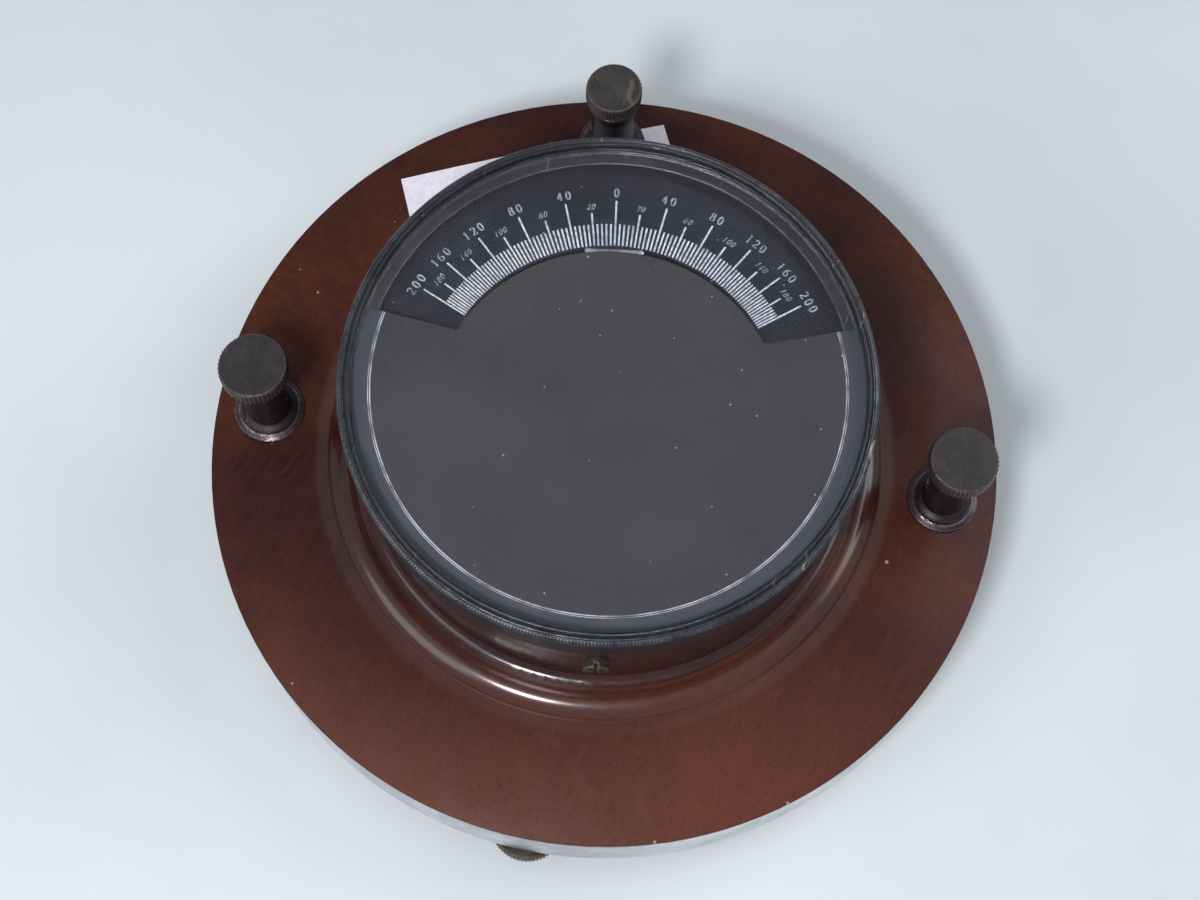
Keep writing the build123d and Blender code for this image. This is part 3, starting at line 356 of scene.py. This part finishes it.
def dusted(tree, place, v, tint):       # specks of dust over a colour
    specks = useGroup(tree, dustFlecks, {"Vector": place, "Scale": v["speckScale"], "Share": v["dust"]})
    return mixTint(tree, times(tree, specks["Mask"], v["speckShow"]), tint, v["speckTint"])


def scratched(tree, place, v):
    lines = useGroup(tree, hairScratches, {"Vector": place, "Scale": v["hairScale"], "Amount": v["hair"]})
    return lines["Mask"]


def polishedWood(name, v):
    material, tree, body, place = openMaterial(name)
    f = useGroup(tree, woodFigure, {"Vector": place, "Turn": (0, 0, radians(v["turn"])), "Fibre": v["fibre"]})
    radius, spot = fromAxis(tree, place)
    tint = mixTint(tree, ramp(tree, f["Streak"], *v["streakStep"]), v["dark"], v["mid"])
    tint = mixTint(tree, ramp(tree, f["Patch"], *v["patchStep"], 0.0, v["glow"]), tint, v["light"])
    tint = mixTint(tree, ramp(tree, f["Ripple"], *v["rippleStep"], 0.0, v["ripple"]), tint, v["mid"])
    if "front" in v:            # painted light: lighter towards the front, where the lamp's light falls, its edge in the shape of the wood's own patches
        frontLight = minus(tree, times(tree, f["Patch"], v["frontLightWaver"]), spot[1])
        tint = mixTint(tree, ramp(tree, frontLight, *v["frontLightStep"], 0.0, v["frontLightShare"]), tint, v["front"])
    tint = mixTint(tree, times(tree, f["Pores"], v["pores"]), tint, v["pore"])
    tint = dusted(tree, place, v, tint)
    hair = scratched(tree, place, v)
    tint = mixTint(tree, times(tree, hair, v["hairShow"]), tint, v["hairTint"])
    edge = useGroup(tree, rubbedEdges, {"Vector": place, "Width": v["edge"], "Amount": v["wear"]})
    tint = mixTint(tree, times(tree, edge["Mask"], v["edgeShow"]), tint, v["light"])
    handled = noise(tree, place, 60.0, 5.0, 0.65)
    rough = ramp(tree, handled, 0.35, 0.7, v["rough"], v["rough"] + v["handled"])
    dull = ramp(tree, radius, *v["topStep"])    # the open top is duller than the bead and drum inside it
    rough = plus(tree, rough, times(tree, dull, v["topRough"]))
    coat = times(tree, v["coat"], ramp(tree, dull, 0.0, 1.0, 1.0, v["topCoat"]))
    coat = minus(tree, coat, times(tree, hair, v["hairCoat"]), True)
    if "shadeBlackAbove" in v:       # painted shade: the drum's top and bore are made dark, so that nothing shines beside the scale
        painted = calc(tree, "GREATER_THAN", spot[2], v["shadeBlackAbove"])
        tint = mixTint(tree, painted, tint, v["shadeBlack"])
        rough = plus(tree, rough, times(tree, painted, v["shadeBlackRough"]))
    height = plus(tree, f["Height"], times(tree, noise(tree, place, 130.0, 3.0), v["sag"]))
    setAll(body, {"Base Color": tint, "Roughness": rough, "Coat Weight": coat,
                  "Coat Roughness": v["coatRough"], "Specular IOR Level": v["specular"],
                  "Specular Tint": v["specularTint"],
                  "Normal": bumpFrom(tree, height, v["bump"], v["relief"], Normal=edge["Normal"])})
    return material


sharedWood = {                  # what all the wood has alike: dust, hair lines, rubbed edges, polish
    "streakStep": (0.30, 0.68), "patchStep": (0.46, 0.70), "rippleStep": (0.40, 0.66), "ripple": 0.55,
    "speckScale": 420.0, "speckShow": 0.55, "speckTint": srgb(190, 175, 178),
    "hairScale": 42.0, "hair": 0.5, "hairShow": 0.10, "hairCoat": 0.2, "hairTint": srgb(150, 110, 105),
    "edge": 0.0006, "wear": 0.7, "edgeShow": 0.30,
    "handled": 0.14, "topStep": (0.0645, 0.0675), "topRough": 0.16, "topCoat": 0.1,
    "sag": 0.8, "bump": 0.18, "relief": 0.00012, "specular": 0.18, "specularTint": shade(0.92, 0.84, 1.0),
}
baseWood = dict(
    sharedWood, turn=-62, fibre=2.1, dark=srgb(36, 15, 11), mid=srgb(58, 24, 17), light=srgb(96, 50, 24),
    pore=srgb(22, 9, 8), glow=0.5, pores=0.45, dust=0.03, rough=0.32, coat=1.0, coatRough=0.17,
    # the front tone is painted light: the top of the base lighter towards the front
    front=srgb(108, 58, 40), frontLightShare=0.55, frontLightWaver=0.06, frontLightStep=(0.04, 0.12))
drumWood = dict(
    sharedWood, turn=4, fibre=2.0, dark=srgb(34, 14, 14), mid=srgb(52, 22, 20), light=srgb(72, 34, 28),
    pore=srgb(20, 9, 9), glow=0.5, pores=0.4, dust=0.02, rough=0.24, coat=0.7, coatRough=0.16,
    # painted shade: the drum is dark above this height
    shadeBlackAbove=0.0721, shadeBlack=srgb(20, 20, 22), shadeBlackRough=0.4)
plainBoard = dict(
    sharedWood, turn=0, fibre=0.8, dark=srgb(112, 76, 44), mid=srgb(150, 108, 68), light=srgb(172, 132, 88),
    pore=srgb(80, 52, 30), glow=0.6, pores=0.5, dust=0.0, rough=0.5, coat=0.05, coatRough=0.4)
formerWood = dict(
    sharedWood, turn=90, fibre=1.4, dark=srgb(84, 46, 22), mid=srgb(122, 72, 36), light=srgb(146, 94, 50),
    pore=srgb(60, 32, 16), glow=0.6, pores=0.6, dust=0.0, rough=0.35, coat=0.4, coatRough=0.2)


def turnedMetal(name, v):
    material, tree, body, place = openMaterial(name)
    t = clouded(tree, place, v)
    marks = useGroup(tree, latheMarks, {"Vector": place, "Axis": v["axis"], "Pitch": v["pitch"]})
    edge = useGroup(tree, rubbedEdges, {"Vector": place, "Width": v["edge"], "Amount": v["wear"]})
    hair = scratched(tree, place, v)
    worn = calc(tree, "MAXIMUM", edge["Mask"], hair)
    tint = mixTint(tree, worn, t["Tint"], v["bare"])
    tint = dusted(tree, place, v, tint)
    rough = plus(tree, v["rough"], times(tree, marks["Rings"], v["ringRough"]))
    rough = minus(tree, rough, times(tree, worn, v["wornGloss"]), True)
    metal = plus(tree, v["metal"], times(tree, worn, 1.0 - v["metal"]), True)
    height = plus(tree, marks["Rings"], times(tree, t["Cloud"], v["cloudHeight"]))
    setAll(body, {"Base Color": tint, "Roughness": rough, "Metallic": metal,
                  "Normal": bumpFrom(tree, height, v["bump"], v["relief"], Normal=edge["Normal"])})
    return material


blackBrass = {
    "cloud": 110.0, "dark": srgb(33, 34, 39), "light": srgb(54, 55, 61), "bare": srgb(145, 145, 155),
    "axis": (0, 0, 0), "pitch": 5200.0, "edge": 0.0005, "wear": 0.8, "hairScale": 70.0, "hair": 0.55,
    "speckScale": 700.0, "speckShow": 0.6, "speckTint": srgb(165, 160, 160), "dust": 0.02,
    "rough": 0.32, "ringRough": 0.16, "wornGloss": 0.15, "metal": 0.55, "cloudHeight": 0.5, "bump": 0.3,
    "relief": 0.00008,
}
headBrass = dict(blackBrass, cloud=160.0, dark=srgb(40, 36, 38), light=srgb(58, 53, 55),
                 bare=srgb(165, 150, 140), hair=0.25, dust=0.01, rough=0.42, metal=0.35, edge=0.0007,
                 wear=1.0)
pillarBrass = dict(headBrass, dark=srgb(30, 26, 28), light=srgb(46, 41, 43), rough=0.30, metal=0.5)
screwBrass = dict(pillarBrass, bare=srgb(150, 130, 90))
washerBrass = dict(headBrass, dark=srgb(46, 40, 44), light=srgb(78, 68, 72), bare=srgb(205, 190, 195),
                   rough=0.20, metal=0.7)
rearBrass = dict(headBrass, dark=srgb(46, 44, 42), light=srgb(68, 64, 61))
footBrass = dict(headBrass, dark=srgb(38, 34, 30), light=srgb(60, 54, 46))
plainBrass = dict(headBrass, dark=srgb(150, 118, 62), light=srgb(190, 156, 90), bare=srgb(214, 186, 120),
                  rough=0.25, metal=1.0)
lacquered = dict(plainBrass, dark=srgb(170, 134, 70), light=srgb(204, 170, 100), rough=0.18)
nickel = dict(headBrass, cloud=60.0, dark=srgb(150, 154, 160), light=srgb(214, 218, 222),
              bare=srgb(240, 240, 240), pitch=9000.0, hair=0.4, dust=0.02, rough=0.14, metal=1.0,
              relief=0.00004)
steel = dict(headBrass, dark=srgb(110, 110, 114), light=srgb(150, 150, 154), bare=srgb(200, 200, 204),
             rough=0.22, metal=1.0)
bluedSteel = dict(steel, dark=srgb(36, 44, 76), light=srgb(56, 66, 104), bare=srgb(150, 155, 170))
sheetMetal = dict(steel, dark=srgb(128, 128, 132), light=srgb(176, 176, 180), rough=0.30)
clipMetal = dict(sheetMetal, dark=srgb(150, 150, 155), light=srgb(225, 225, 230), rough=0.12)
millingBrass = dict(blackBrass, dark=srgb(52, 55, 60), light=srgb(96, 98, 104), bare=srgb(225, 220, 205),
                    rough=0.22, metal=0.85, wear=0.5, edge=0.00002)


def turnedBorder(tree, place, v, tint, rough, height):
    # beyond a radius the card shows turning marks, and two thin bright lines stand where they start
    marks = useGroup(tree, latheMarks, {"Vector": place, "Pitch": v["pitch"]})
    zone = ramp(tree, marks["Radius"], *v["step"])
    tint = mixTint(tree, zone, tint, mixTint(tree, marks["Rings"], v["dark"], v["light"]))
    rough = minus(tree, rough, times(tree, zone, v["gloss"]))
    for at, half in v["lines"]:
        away = calc(tree, "ABSOLUTE", minus(tree, marks["Radius"], at))
        fade = ramp(tree, noise(tree, place, 120.0, 5.0, 0.7), 0.36, 0.62, 0.15, 1.0)
        tint = mixTint(tree, times(tree, calc(tree, "LESS_THAN", away, half), fade), tint, v["lineTint"])
    height = plus(tree, height, times(tree, times(tree, marks["Rings"], zone), v["depth"]))
    return tint, rough, height


def lacquerBlack(name, v):      # matt lacquer with fine grit and specks
    material, tree, body, place = openMaterial(name)
    t = clouded(tree, place, v)
    grit = ramp(tree, noise(tree, place, 1400.0, 4.0, 0.7), 0.55, 0.8, 0.0, 0.12)
    tint = dusted(tree, place, v, mixTint(tree, grit, t["Tint"], v["grit"]))
    rough = plus(tree, v["rough"], times(tree, t["Cloud"], v["cloudRough"]))
    height = noise(tree, place, 1800.0, 3.0)
    if "border" in v:
        tint, rough, height = turnedBorder(tree, place, v["border"], tint, rough, height)
    setAll(body, {"Base Color": tint, "Roughness": rough, "Specular IOR Level": v["specular"],
                  "Normal": bumpFrom(tree, height, v["bump"], v["relief"])})
    return material


scaleBlack = {
    "cloud": 60.0, "dark": srgb(20, 20, 27), "light": srgb(29, 29, 37), "grit": srgb(42, 42, 54),
    "speckScale": 900.0, "speckShow": 0.7, "speckTint": srgb(150, 150, 150), "dust": 0.03, "rough": 0.45,
    "cloudRough": 0.1, "specular": 0.1, "bump": 0.05, "relief": 0.00001,
}
cardBorder = {
    "pitch": 3600.0, "step": (0.0502, 0.0506), "dark": srgb(30, 32, 36), "light": srgb(62, 65, 72),
    "gloss": 0.25, "depth": 2.0, "lines": ((0.0499, 0.00011), (0.0503, 0.00007)),
    "lineTint": srgb(165, 165, 175),
}
dialBlack = dict(scaleBlack, cloud=40.0, dark=srgb(38, 37, 40), light=srgb(46, 44, 47), grit=srgb(62, 58, 60),
                 dust=0.035, rough=0.55, border=cardBorder)


def clearGlass(name, v):        # plain glass that lets lamp light through, with faint smears
    material, tree, body, place = openMaterial(name)
    wiped = stretch(tree, place, (0, 0, 0.6), (1, 3, 1))
    smear = ramp(tree, noise(tree, wiped, 40.0, 5.0, 0.6, 1.0), 0.45, 0.75)
    dust = useGroup(tree, dustFlecks, {"Vector": place, "Scale": 500.0, "Share": 0.02})["Mask"]
    rough = plus(tree, times(tree, smear, v["smear"]), times(tree, dust, v["dustRough"]))
    setAll(body, {"Base Color": mixTint(tree, smear, v["tint"], v["dull"]), "Roughness": rough,
                  "Transmission Weight": 1.0, "IOR": v["ior"]})
    through = put(tree, "ShaderNodeBsdfTransparent", {"Color": v["tint"]})
    ray = tree.nodes.new("ShaderNodeLightPath")
    mixer = put(tree, "ShaderNodeMixShader",
                {0: ray.outputs["Is Shadow Ray"], 1: body.outputs[0], 2: through.outputs[0]})
    tree.links.new(mixer.outputs[0], tree.nodes["Material Output"].inputs[0])
    return material


coverGlass = {"tint": shade(0.97, 0.98, 0.98), "dull": shade(0.93, 0.94, 0.95), "smear": 0.04,
              "dustRough": 0.2, "ior": 1.34}
mica = dict(coverGlass, tint=shade(0.86, 0.87, 0.88), dull=shade(0.70, 0.72, 0.74), smear=0.12, ior=1.3)


def woundSilk(name, v):         # covered wire: close turns along one direction, with the lay of the silk
    material, tree, body, place = openMaterial(name)
    turns = wave(tree, place, v["turns"], 0.4, 1.0)
    leant = stretch(tree, place, (0.6, 0.3, 0.8), (1, 1, 1))
    lay = wave(tree, leant, v["turns"] * v["layFiner"], 1.0, 2.0)
    fade = noise(tree, place, 120.0, 4.0, 0.6)
    tint = mixTint(tree, ramp(tree, turns, 0.1, 0.8), v["gap"], v["silk"])
    tint = mixTint(tree, ramp(tree, fade, 0.4, 0.7, 0.0, 0.6), tint, v["faded"])
    height = plus(tree, turns, times(tree, lay, v["layHeight"]))
    setAll(body, {"Base Color": tint, "Roughness": ramp(tree, fade, 0.3, 0.7, 0.55, 0.8),
                  "Normal": bumpFrom(tree, height, v["bump"], v["relief"])})
    return material


greenSilk = {"turns": 420.0, "layFiner": 4, "layHeight": 0.25, "gap": srgb(26, 40, 28),
             "silk": srgb(62, 98, 66), "faded": srgb(96, 116, 74), "bump": 0.6, "relief": 0.0003}


def whitePaper(name, v):
    material, tree, body, place = openMaterial(name)
    fibres = noise(tree, place, 900.0, 6.0, 0.7)
    cloud = noise(tree, place, 60.0, 3.0)
    tint = mixTint(tree, ramp(tree, fibres, 0.35, 0.65), v["dark"], v["light"])
    tint = mixTint(tree, ramp(tree, cloud, 0.5, 0.8, 0.0, 0.35), tint, v["soiled"])
    setAll(body, {"Base Color": tint, "Roughness": ramp(tree, cloud, 0.3, 0.7, 0.75, 0.9),
                  "Normal": bumpFrom(tree, fibres, v["bump"], v["relief"])})
    return material


paper = {"dark": srgb(222, 220, 236), "light": srgb(240, 238, 250), "soiled": srgb(214, 208, 216),
         "bump": 0.15, "relief": 0.0001}


def polishedStone(name, v):
    material, tree, body, place = openMaterial(name)
    t = clouded(tree, place, v)
    setAll(body, {"Base Color": t["Tint"], "Roughness": ramp(tree, t["Cloud"], 0.0, 1.0, 0.05, 0.15),
                  "Coat Weight": v["coat"]})
    return material


garnet = {"cloud": 600.0, "dark": srgb(90, 10, 24), "light": srgb(150, 30, 48), "coat": 0.5}


def engravedFill(name, v):      # pale filling of the engraved lines, thinner in places
    material, tree, body, place = openMaterial(name)
    fade = noise(tree, place, 1500.0, 4.0, 0.65)
    slow = noise(tree, place, 160.0, 2.0)
    tint = mixTint(tree, ramp(tree, fade, 0.34, 0.62), v["worn"], v["full"])
    tint = mixTint(tree, ramp(tree, slow, 0.55, 0.8, 0.0, 0.4), tint, v["worn"])
    setAll(body, {"Base Color": tint, "Roughness": ramp(tree, fade, 0.3, 0.7, 0.35, 0.6)})
    return material


tickFill = {"worn": srgb(120, 124, 134), "full": srgb(178, 183, 194)}
figureFill = {"worn": srgb(74, 78, 88), "full": srgb(146, 151, 163)}
smallFill = {"worn": srgb(60, 63, 72), "full": srgb(128, 132, 145)}


# materials onto the nodes

feet = {"ring": 83.2, "turns": {"front": -99.6, "right_rear": 20.4, "left_rear": 140.4}}
posts = {"ring": 77.5, "turns": {"left": 175.7, "rear": 91.2, "right": -6.3}}


def paint(material, *names):
    for name in names:
        piece = nodes[name]
        if piece.material_slots:
            for holder in piece.material_slots:
                holder.material = material
        else:
            piece.data.materials.append(material)


def axisAt(radius, turn):       # where an upright axis stands on a ring round the middle
    return (radius * cos(radians(turn)) * mm, radius * sin(radians(turn)) * mm, 0.0)


paint(polishedWood("baseWood", baseWood), "base_disc")
paint(polishedWood("drumWood", drumWood), "case_drum")
paint(polishedWood("coverBoard", plainBoard), "base_cover")
paint(polishedWood("formerWood", formerWood), "coil_former")
paint(turnedMetal("bezelBlack", blackBrass), "bezel", "bezel_seat", "glass_ring")
paint(turnedMetal("rimNickel", nickel), "rim_band")
paint(turnedMetal("screwBlack", footBrass), "seat_screws")
for side, turn in posts["turns"].items():
    spot = axisAt(posts["ring"], turn)
    finish = rearBrass if side == "rear" else headBrass
    paint(turnedMetal(side + "Pillar", dict(pillarBrass, axis=spot)), side + "_terminal_pillar")
    paint(turnedMetal(side + "ClampScrew", dict(screwBrass, axis=spot)), side + "_clamp_screw")
    paint(turnedMetal(side + "Head", dict(finish, axis=spot)), side + "_clamp_head")
paint(turnedMetal("washerBrass", washerBrass), "terminal_washers")
for side, turn in feet["turns"].items():
    foot = turnedMetal(side + "Foot", dict(footBrass, axis=axisAt(feet["ring"], turn)))
    paint(foot, side + "_levelling_screw", side + "_levelling_disc")
paint(turnedMetal("plainBrass", plainBrass), "levelling_bushes", "terminal_nuts", "base_cover_screws",
      "drum_screws", "bridge_pillars", "counterweight")
paint(turnedMetal("lacqueredBrass", lacquered), "movement_plate", "bearing_bridge")
paint(turnedMetal("steelParts", steel), "movement_screws", "coil_screws", "bridge_screws", "scale_screws",
      "lower_bearing_screw", "upper_bearing_screw", "needle_staff")
paint(turnedMetal("bluedSteel", bluedSteel), "needle_magnet")
paint(turnedMetal("armMetal", sheetMetal), "pointer_arm")
paint(turnedMetal("clipMetal", clipMetal), "index_clip")
paint(lacquerBlack("dialBlack", dialBlack), "dial_card")
paint(lacquerBlack("scaleBlack", scaleBlack), "scale_plate")
paint(clearGlass("coverGlass", coverGlass), "glass")
paint(clearGlass("micaWindow", mica), "index_plate")
paint(woundSilk("greenSilk", greenSilk), "coil_winding_left", "coil_winding_right", "left_lead", "right_lead",
      "rear_lead")
paint(whitePaper("labelPaper", paper), "paper_label")
paint(polishedStone("garnet", garnet), "lower_jewel", "upper_jewel")
print("materials on", len(nodes), "nodes")


# new pieces

def pieceFrom(name, points, faces, material, body):
    mesh = bpy.data.meshes.new(name)
    mesh.from_pydata(points.tolist(), [], faces.tolist())
    mesh.materials.append(material)
    mesh.update()
    piece = bpy.data.objects.new(name, mesh)
    bpy.context.collection.objects.link(piece)
    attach(piece, body)
    return piece


def ringFaces(nu, nv):          # quads of a grid closed both ways
    u, v = np.meshgrid(np.arange(nu), np.arange(nv), indexing="ij")
    u2, v2 = (u + 1) % nu, (v + 1) % nv
    return np.stack([u * nv + v, u2 * nv + v, u2 * nv + v2, u * nv + v2], -1).reshape(-1, 4)


milling = {"teeth": 512, "skirt": 55.8, "sunk": 0.1, "width": 0.70, "floor": 76.6, "height": 2.0,
           "depth": 0.24, "root": 0.2, "roundness": 0.8, "fade": 0.5, "around": 6, "rows": 11}


def makeMilling(v):
    # bead section: a half ellipse outside the skirt closed by a flat inside it; each tooth pushes it out by a
    # rounded wave, strongest at the crest and fading to nothing at the bead's edges
    t = np.linspace(-pi / 2, pi / 2, v["rows"])
    radius = v["skirt"] - v["sunk"] + (v["width"] + v["sunk"]) * np.cos(t)
    height = v["floor"] + v["height"] / 2 * (1 + np.sin(t))
    turn = np.arange(v["teeth"] * v["around"]) * 2 * pi / (v["teeth"] * v["around"])
    tooth = np.abs(np.sin(turn * v["teeth"] / 2)) ** v["roundness"] - v["root"]
    reach = radius[None, :] + v["depth"] * tooth[:, None] * np.cos(t)[None, :] ** v["fade"]
    x = reach * np.cos(turn)[:, None]
    y = reach * np.sin(turn)[:, None]
    z = np.broadcast_to(height, x.shape)
    points = np.stack([x, y, z], -1).reshape(-1, 3) * mm
    material = turnedMetal("millingBlack", millingBrass)
    return pieceFrom("bezelMilling", points, ringFaces(len(turn), len(t)), material, "bezel")


def prisms(quads, floor, top):
    # each flat outline of four corners becomes a closed block between two heights
    n = len(quads)
    low = np.concatenate([quads, np.full((n, 4, 1), floor)], -1)
    high = np.concatenate([quads, np.full((n, 4, 1), top)], -1)
    points = np.concatenate([low, high], 1).reshape(-1, 3)
    pattern = np.array([[4, 5, 6, 7], [3, 2, 1, 0], [0, 1, 5, 4], [1, 2, 6, 5], [2, 3, 7, 6], [3, 0, 4, 7]])
    faces = (pattern[None] + 8 * np.arange(n)[:, None, None]).reshape(-1, 4)
    return points, faces


scale = {"pivot": (0.0, -3.5), "top": 73.0, "rise": 0.02, "sunk": 0.02, "inner": 36.4, "minor": 41.5,
         "middle": 44.3, "long": 47.1, "width": 0.40, "narrowest": 0.55, "half": 200, "step": 4,
         "middleEvery": 20, "longEvery": 40, "spread": 1.6375, "knee": 275.0}


def readingAngle(v, reading):   # degrees from the zero: a tangent law, drawn close together towards the ends
    return v["spread"] * np.degrees(np.arctan(reading / v["knee"]))


def makeTicks(v):
    # a radial bar for each division: four corners from its angle, inner and outer radius and half its width
    reading = np.arange(-v["half"], v["half"] + 1, v["step"])
    a = np.radians(readingAngle(v, reading))
    outer = np.where(reading % v["middleEvery"] == 0, v["middle"], v["minor"])
    outer = np.where(reading % v["longEvery"] == 0, v["long"], outer)
    spacing = 1.0 / (1.0 + (reading / v["knee"]) ** 2)        # bars thin out where they crowd
    half = v["width"] / 2 * (v["narrowest"] + (1 - v["narrowest"]) * spacing)
    along = np.stack([np.sin(a), np.cos(a)], -1)
    across = np.stack([np.cos(a), -np.sin(a)], -1)
    inner = along * v["inner"]
    end = along * outer[:, None]
    side = across * half[:, None]
    quads = np.stack([inner - side, inner + side, end + side, end - side], 1) + np.array(v["pivot"])
    points, faces = prisms(quads, v["top"] - v["sunk"], v["top"] + v["rise"])
    fill = engravedFill("tickFill", tickFill)
    return pieceFrom("scaleTicks", points * mm, faces, fill, "case")


def strokes():
    # each figure is a few strokes, points across a box one unit high; arcs are sampled from their angles
    def arc(cx, cy, rx, ry, start, stop, n=20):
        t = np.radians(np.linspace(start, stop, n))
        return np.stack([cx + rx * np.cos(t), cy + ry * np.sin(t)], -1)

    def line(*spots):
        spots = np.array(spots, float)
        t = np.linspace(0, len(spots) - 1, 8 * (len(spots) - 1) + 1)
        return np.stack([np.interp(t, np.arange(len(spots)), spots[:, k]) for k in (0, 1)], -1)

    return {
        "0": [arc(0.28, 0.5, 0.21, 0.46, 90, 450, 28)],
        "1": [line((0.28, 0.95), (0.28, 0.04)), line((0.28, 0.94), (0.14, 0.80)),
              line((0.14, 0.04), (0.42, 0.04))],
        "2": [np.concatenate([arc(0.27, 0.71, 0.20, 0.24, 165, -35, 16), line((0.40, 0.52), (0.08, 0.05))]),
              line((0.08, 0.05), (0.50, 0.05)), line((0.50, 0.05), (0.52, 0.18))],
        "4": [line((0.36, 0.95), (0.04, 0.30)), line((0.04, 0.30), (0.54, 0.30)),
              line((0.37, 0.95), (0.37, 0.04)), line((0.26, 0.04), (0.48, 0.04))],
        "6": [arc(0.28, 0.29, 0.21, 0.25, 0, 360, 24), arc(0.47, 0.36, 0.40, 0.58, 88, 178, 14)],
        "8": [arc(0.28, 0.73, 0.17, 0.22, 90, 450, 22), arc(0.28, 0.27, 0.21, 0.24, 90, 450, 24)],
    }


figureShapes = strokes()
figureMiddle = (0.28, 0.5)      # middle of a figure's box


def inked(path, thin, thick):
    # a stroke's quads: each point gets a width that grows with how upright the stroke runs there
    step = np.gradient(path, axis=0)
    step = step / np.maximum(np.linalg.norm(step, axis=1), 1e-9)[:, None]
    half = 0.5 * (thin + (thick - thin) * np.abs(step[:, 1]) ** 1.5)
    side = np.stack([-step[:, 1], step[:, 0]], -1) * half[:, None]
    left, right = path + side, path - side
    return np.stack([right[:-1], right[1:], left[1:], left[:-1]], 1)


figures = {"radius": 49.05, "height": 2.05, "thin": 0.07, "thick": 0.17, "gap": 0.90, "slant": 0.0,
           "readings": [0, 40, 80, 120, 160, 200]}
smallFigures = {"radius": 45.75, "height": 1.4, "thin": 0.08, "thick": 0.17, "gap": 0.74, "slant": 0.25,
                "readings": [20, 60, 100, 140, 180]}


def makeFigures(name, v, s, fill):
    # each number is set along a circle about the pivot: figures side by side on the tangent, tops outwards
    quads = []
    for reading in v["readings"] + [-r for r in v["readings"] if r]:
        word = str(abs(reading))
        a = radians(float(readingAngle(s, reading)))
        out = np.array([sin(a), cos(a)])
        side = np.array([cos(a), -sin(a)])
        for k, figure in enumerate(word):
            place = (k - (len(word) - 1) / 2) * v["gap"]
            for path in figureShapes[figure]:
                spots = inked(path, v["thin"], v["thick"]) - np.array(figureMiddle)
                x = (spots[..., 0] + place + v["slant"] * spots[..., 1]) * v["height"]
                y = spots[..., 1] * v["height"] + v["radius"]
                quads.append(x[..., None] * side + y[..., None] * out + np.array(s["pivot"]))
    points, faces = prisms(np.concatenate(quads), s["top"] - s["sunk"], s["top"] + s["rise"])
    return pieceFrom(name, points * mm, faces, engravedFill(name + "Fill", fill), "case")


makeMilling(milling)
makeTicks(scale)
makeFigures("scaleFigures", figures, scale, figureFill)
makeFigures("smallFigures", smallFigures, scale, smallFill)
print("milling, divisions and figures made")


# floor and surroundings

ground = {"half": 3.0, "wide": 6.0, "curve": 1.2, "rows": 40, "flatShare": 0.7, "specular": 0.1,
          "tint": srgb(222, 230, 235), "shade": srgb(214, 222, 228)}


def makeFloor(v):
    # a flat sheet at the table's height, curving up behind as a quarter circle
    n = v["rows"]
    t = np.linspace(0, 1, n)
    flat = t < v["flatShare"]
    turn = (t - v["flatShare"]) / (1 - v["flatShare"]) * pi / 2
    y = np.where(flat, -v["half"] + t / v["flatShare"] * 2 * v["half"], v["half"] + v["curve"] * np.sin(turn))
    z = np.where(flat, 0.0, v["curve"] * (1 - np.cos(turn)))
    x = np.array([-v["wide"], v["wide"]])
    points = np.stack([np.repeat(x, n), np.tile(y, 2), np.tile(z, 2)], -1)
    k = np.arange(n - 1)
    faces = np.stack([k, k + n, k + n + 1, k + 1], -1)
    mesh = bpy.data.meshes.new("floor")
    mesh.from_pydata(points.tolist(), [], faces.tolist())
    material, tree, body, place = openMaterial("floorPale")
    cloud = noise(tree, place, 6.0, 4.0)
    tint = mixTint(tree, ramp(tree, cloud, 0.35, 0.65), v["shade"], v["tint"])
    setAll(body, {"Base Color": tint, "Roughness": ramp(tree, cloud, 0.3, 0.7, 0.75, 0.85),
                  "Specular IOR Level": v["specular"]})
    mesh.materials.append(material)
    floor = bpy.data.objects.new("floor", mesh)
    bpy.context.collection.objects.link(floor)


room = {"light": 0.29, "seen": srgb(172, 177, 184)}     # soft light on the object, and what is seen behind it


def setWorld(v):
    world = bpy.data.worlds.new("room")
    bpy.context.scene.world = world
    world.use_nodes = True
    tree = world.node_tree
    tree.nodes.clear()
    ray = tree.nodes.new("ShaderNodeLightPath").outputs
    shown = calc(tree, "MAXIMUM", ray["Is Camera Ray"], ray["Is Glossy Ray"])
    shown = calc(tree, "MAXIMUM", shown, ray["Is Transmission Ray"])
    tint = mixTint(tree, shown, shade(v["light"], v["light"], v["light"]), v["seen"])
    glow = put(tree, "ShaderNodeBackground", {"Color": tint, "Strength": 1.0})
    end = tree.nodes.new("ShaderNodeOutputWorld")
    tree.links.new(glow.outputs[0], end.inputs[0])


makeFloor(ground)
setWorld(room)
print("floor and room made")
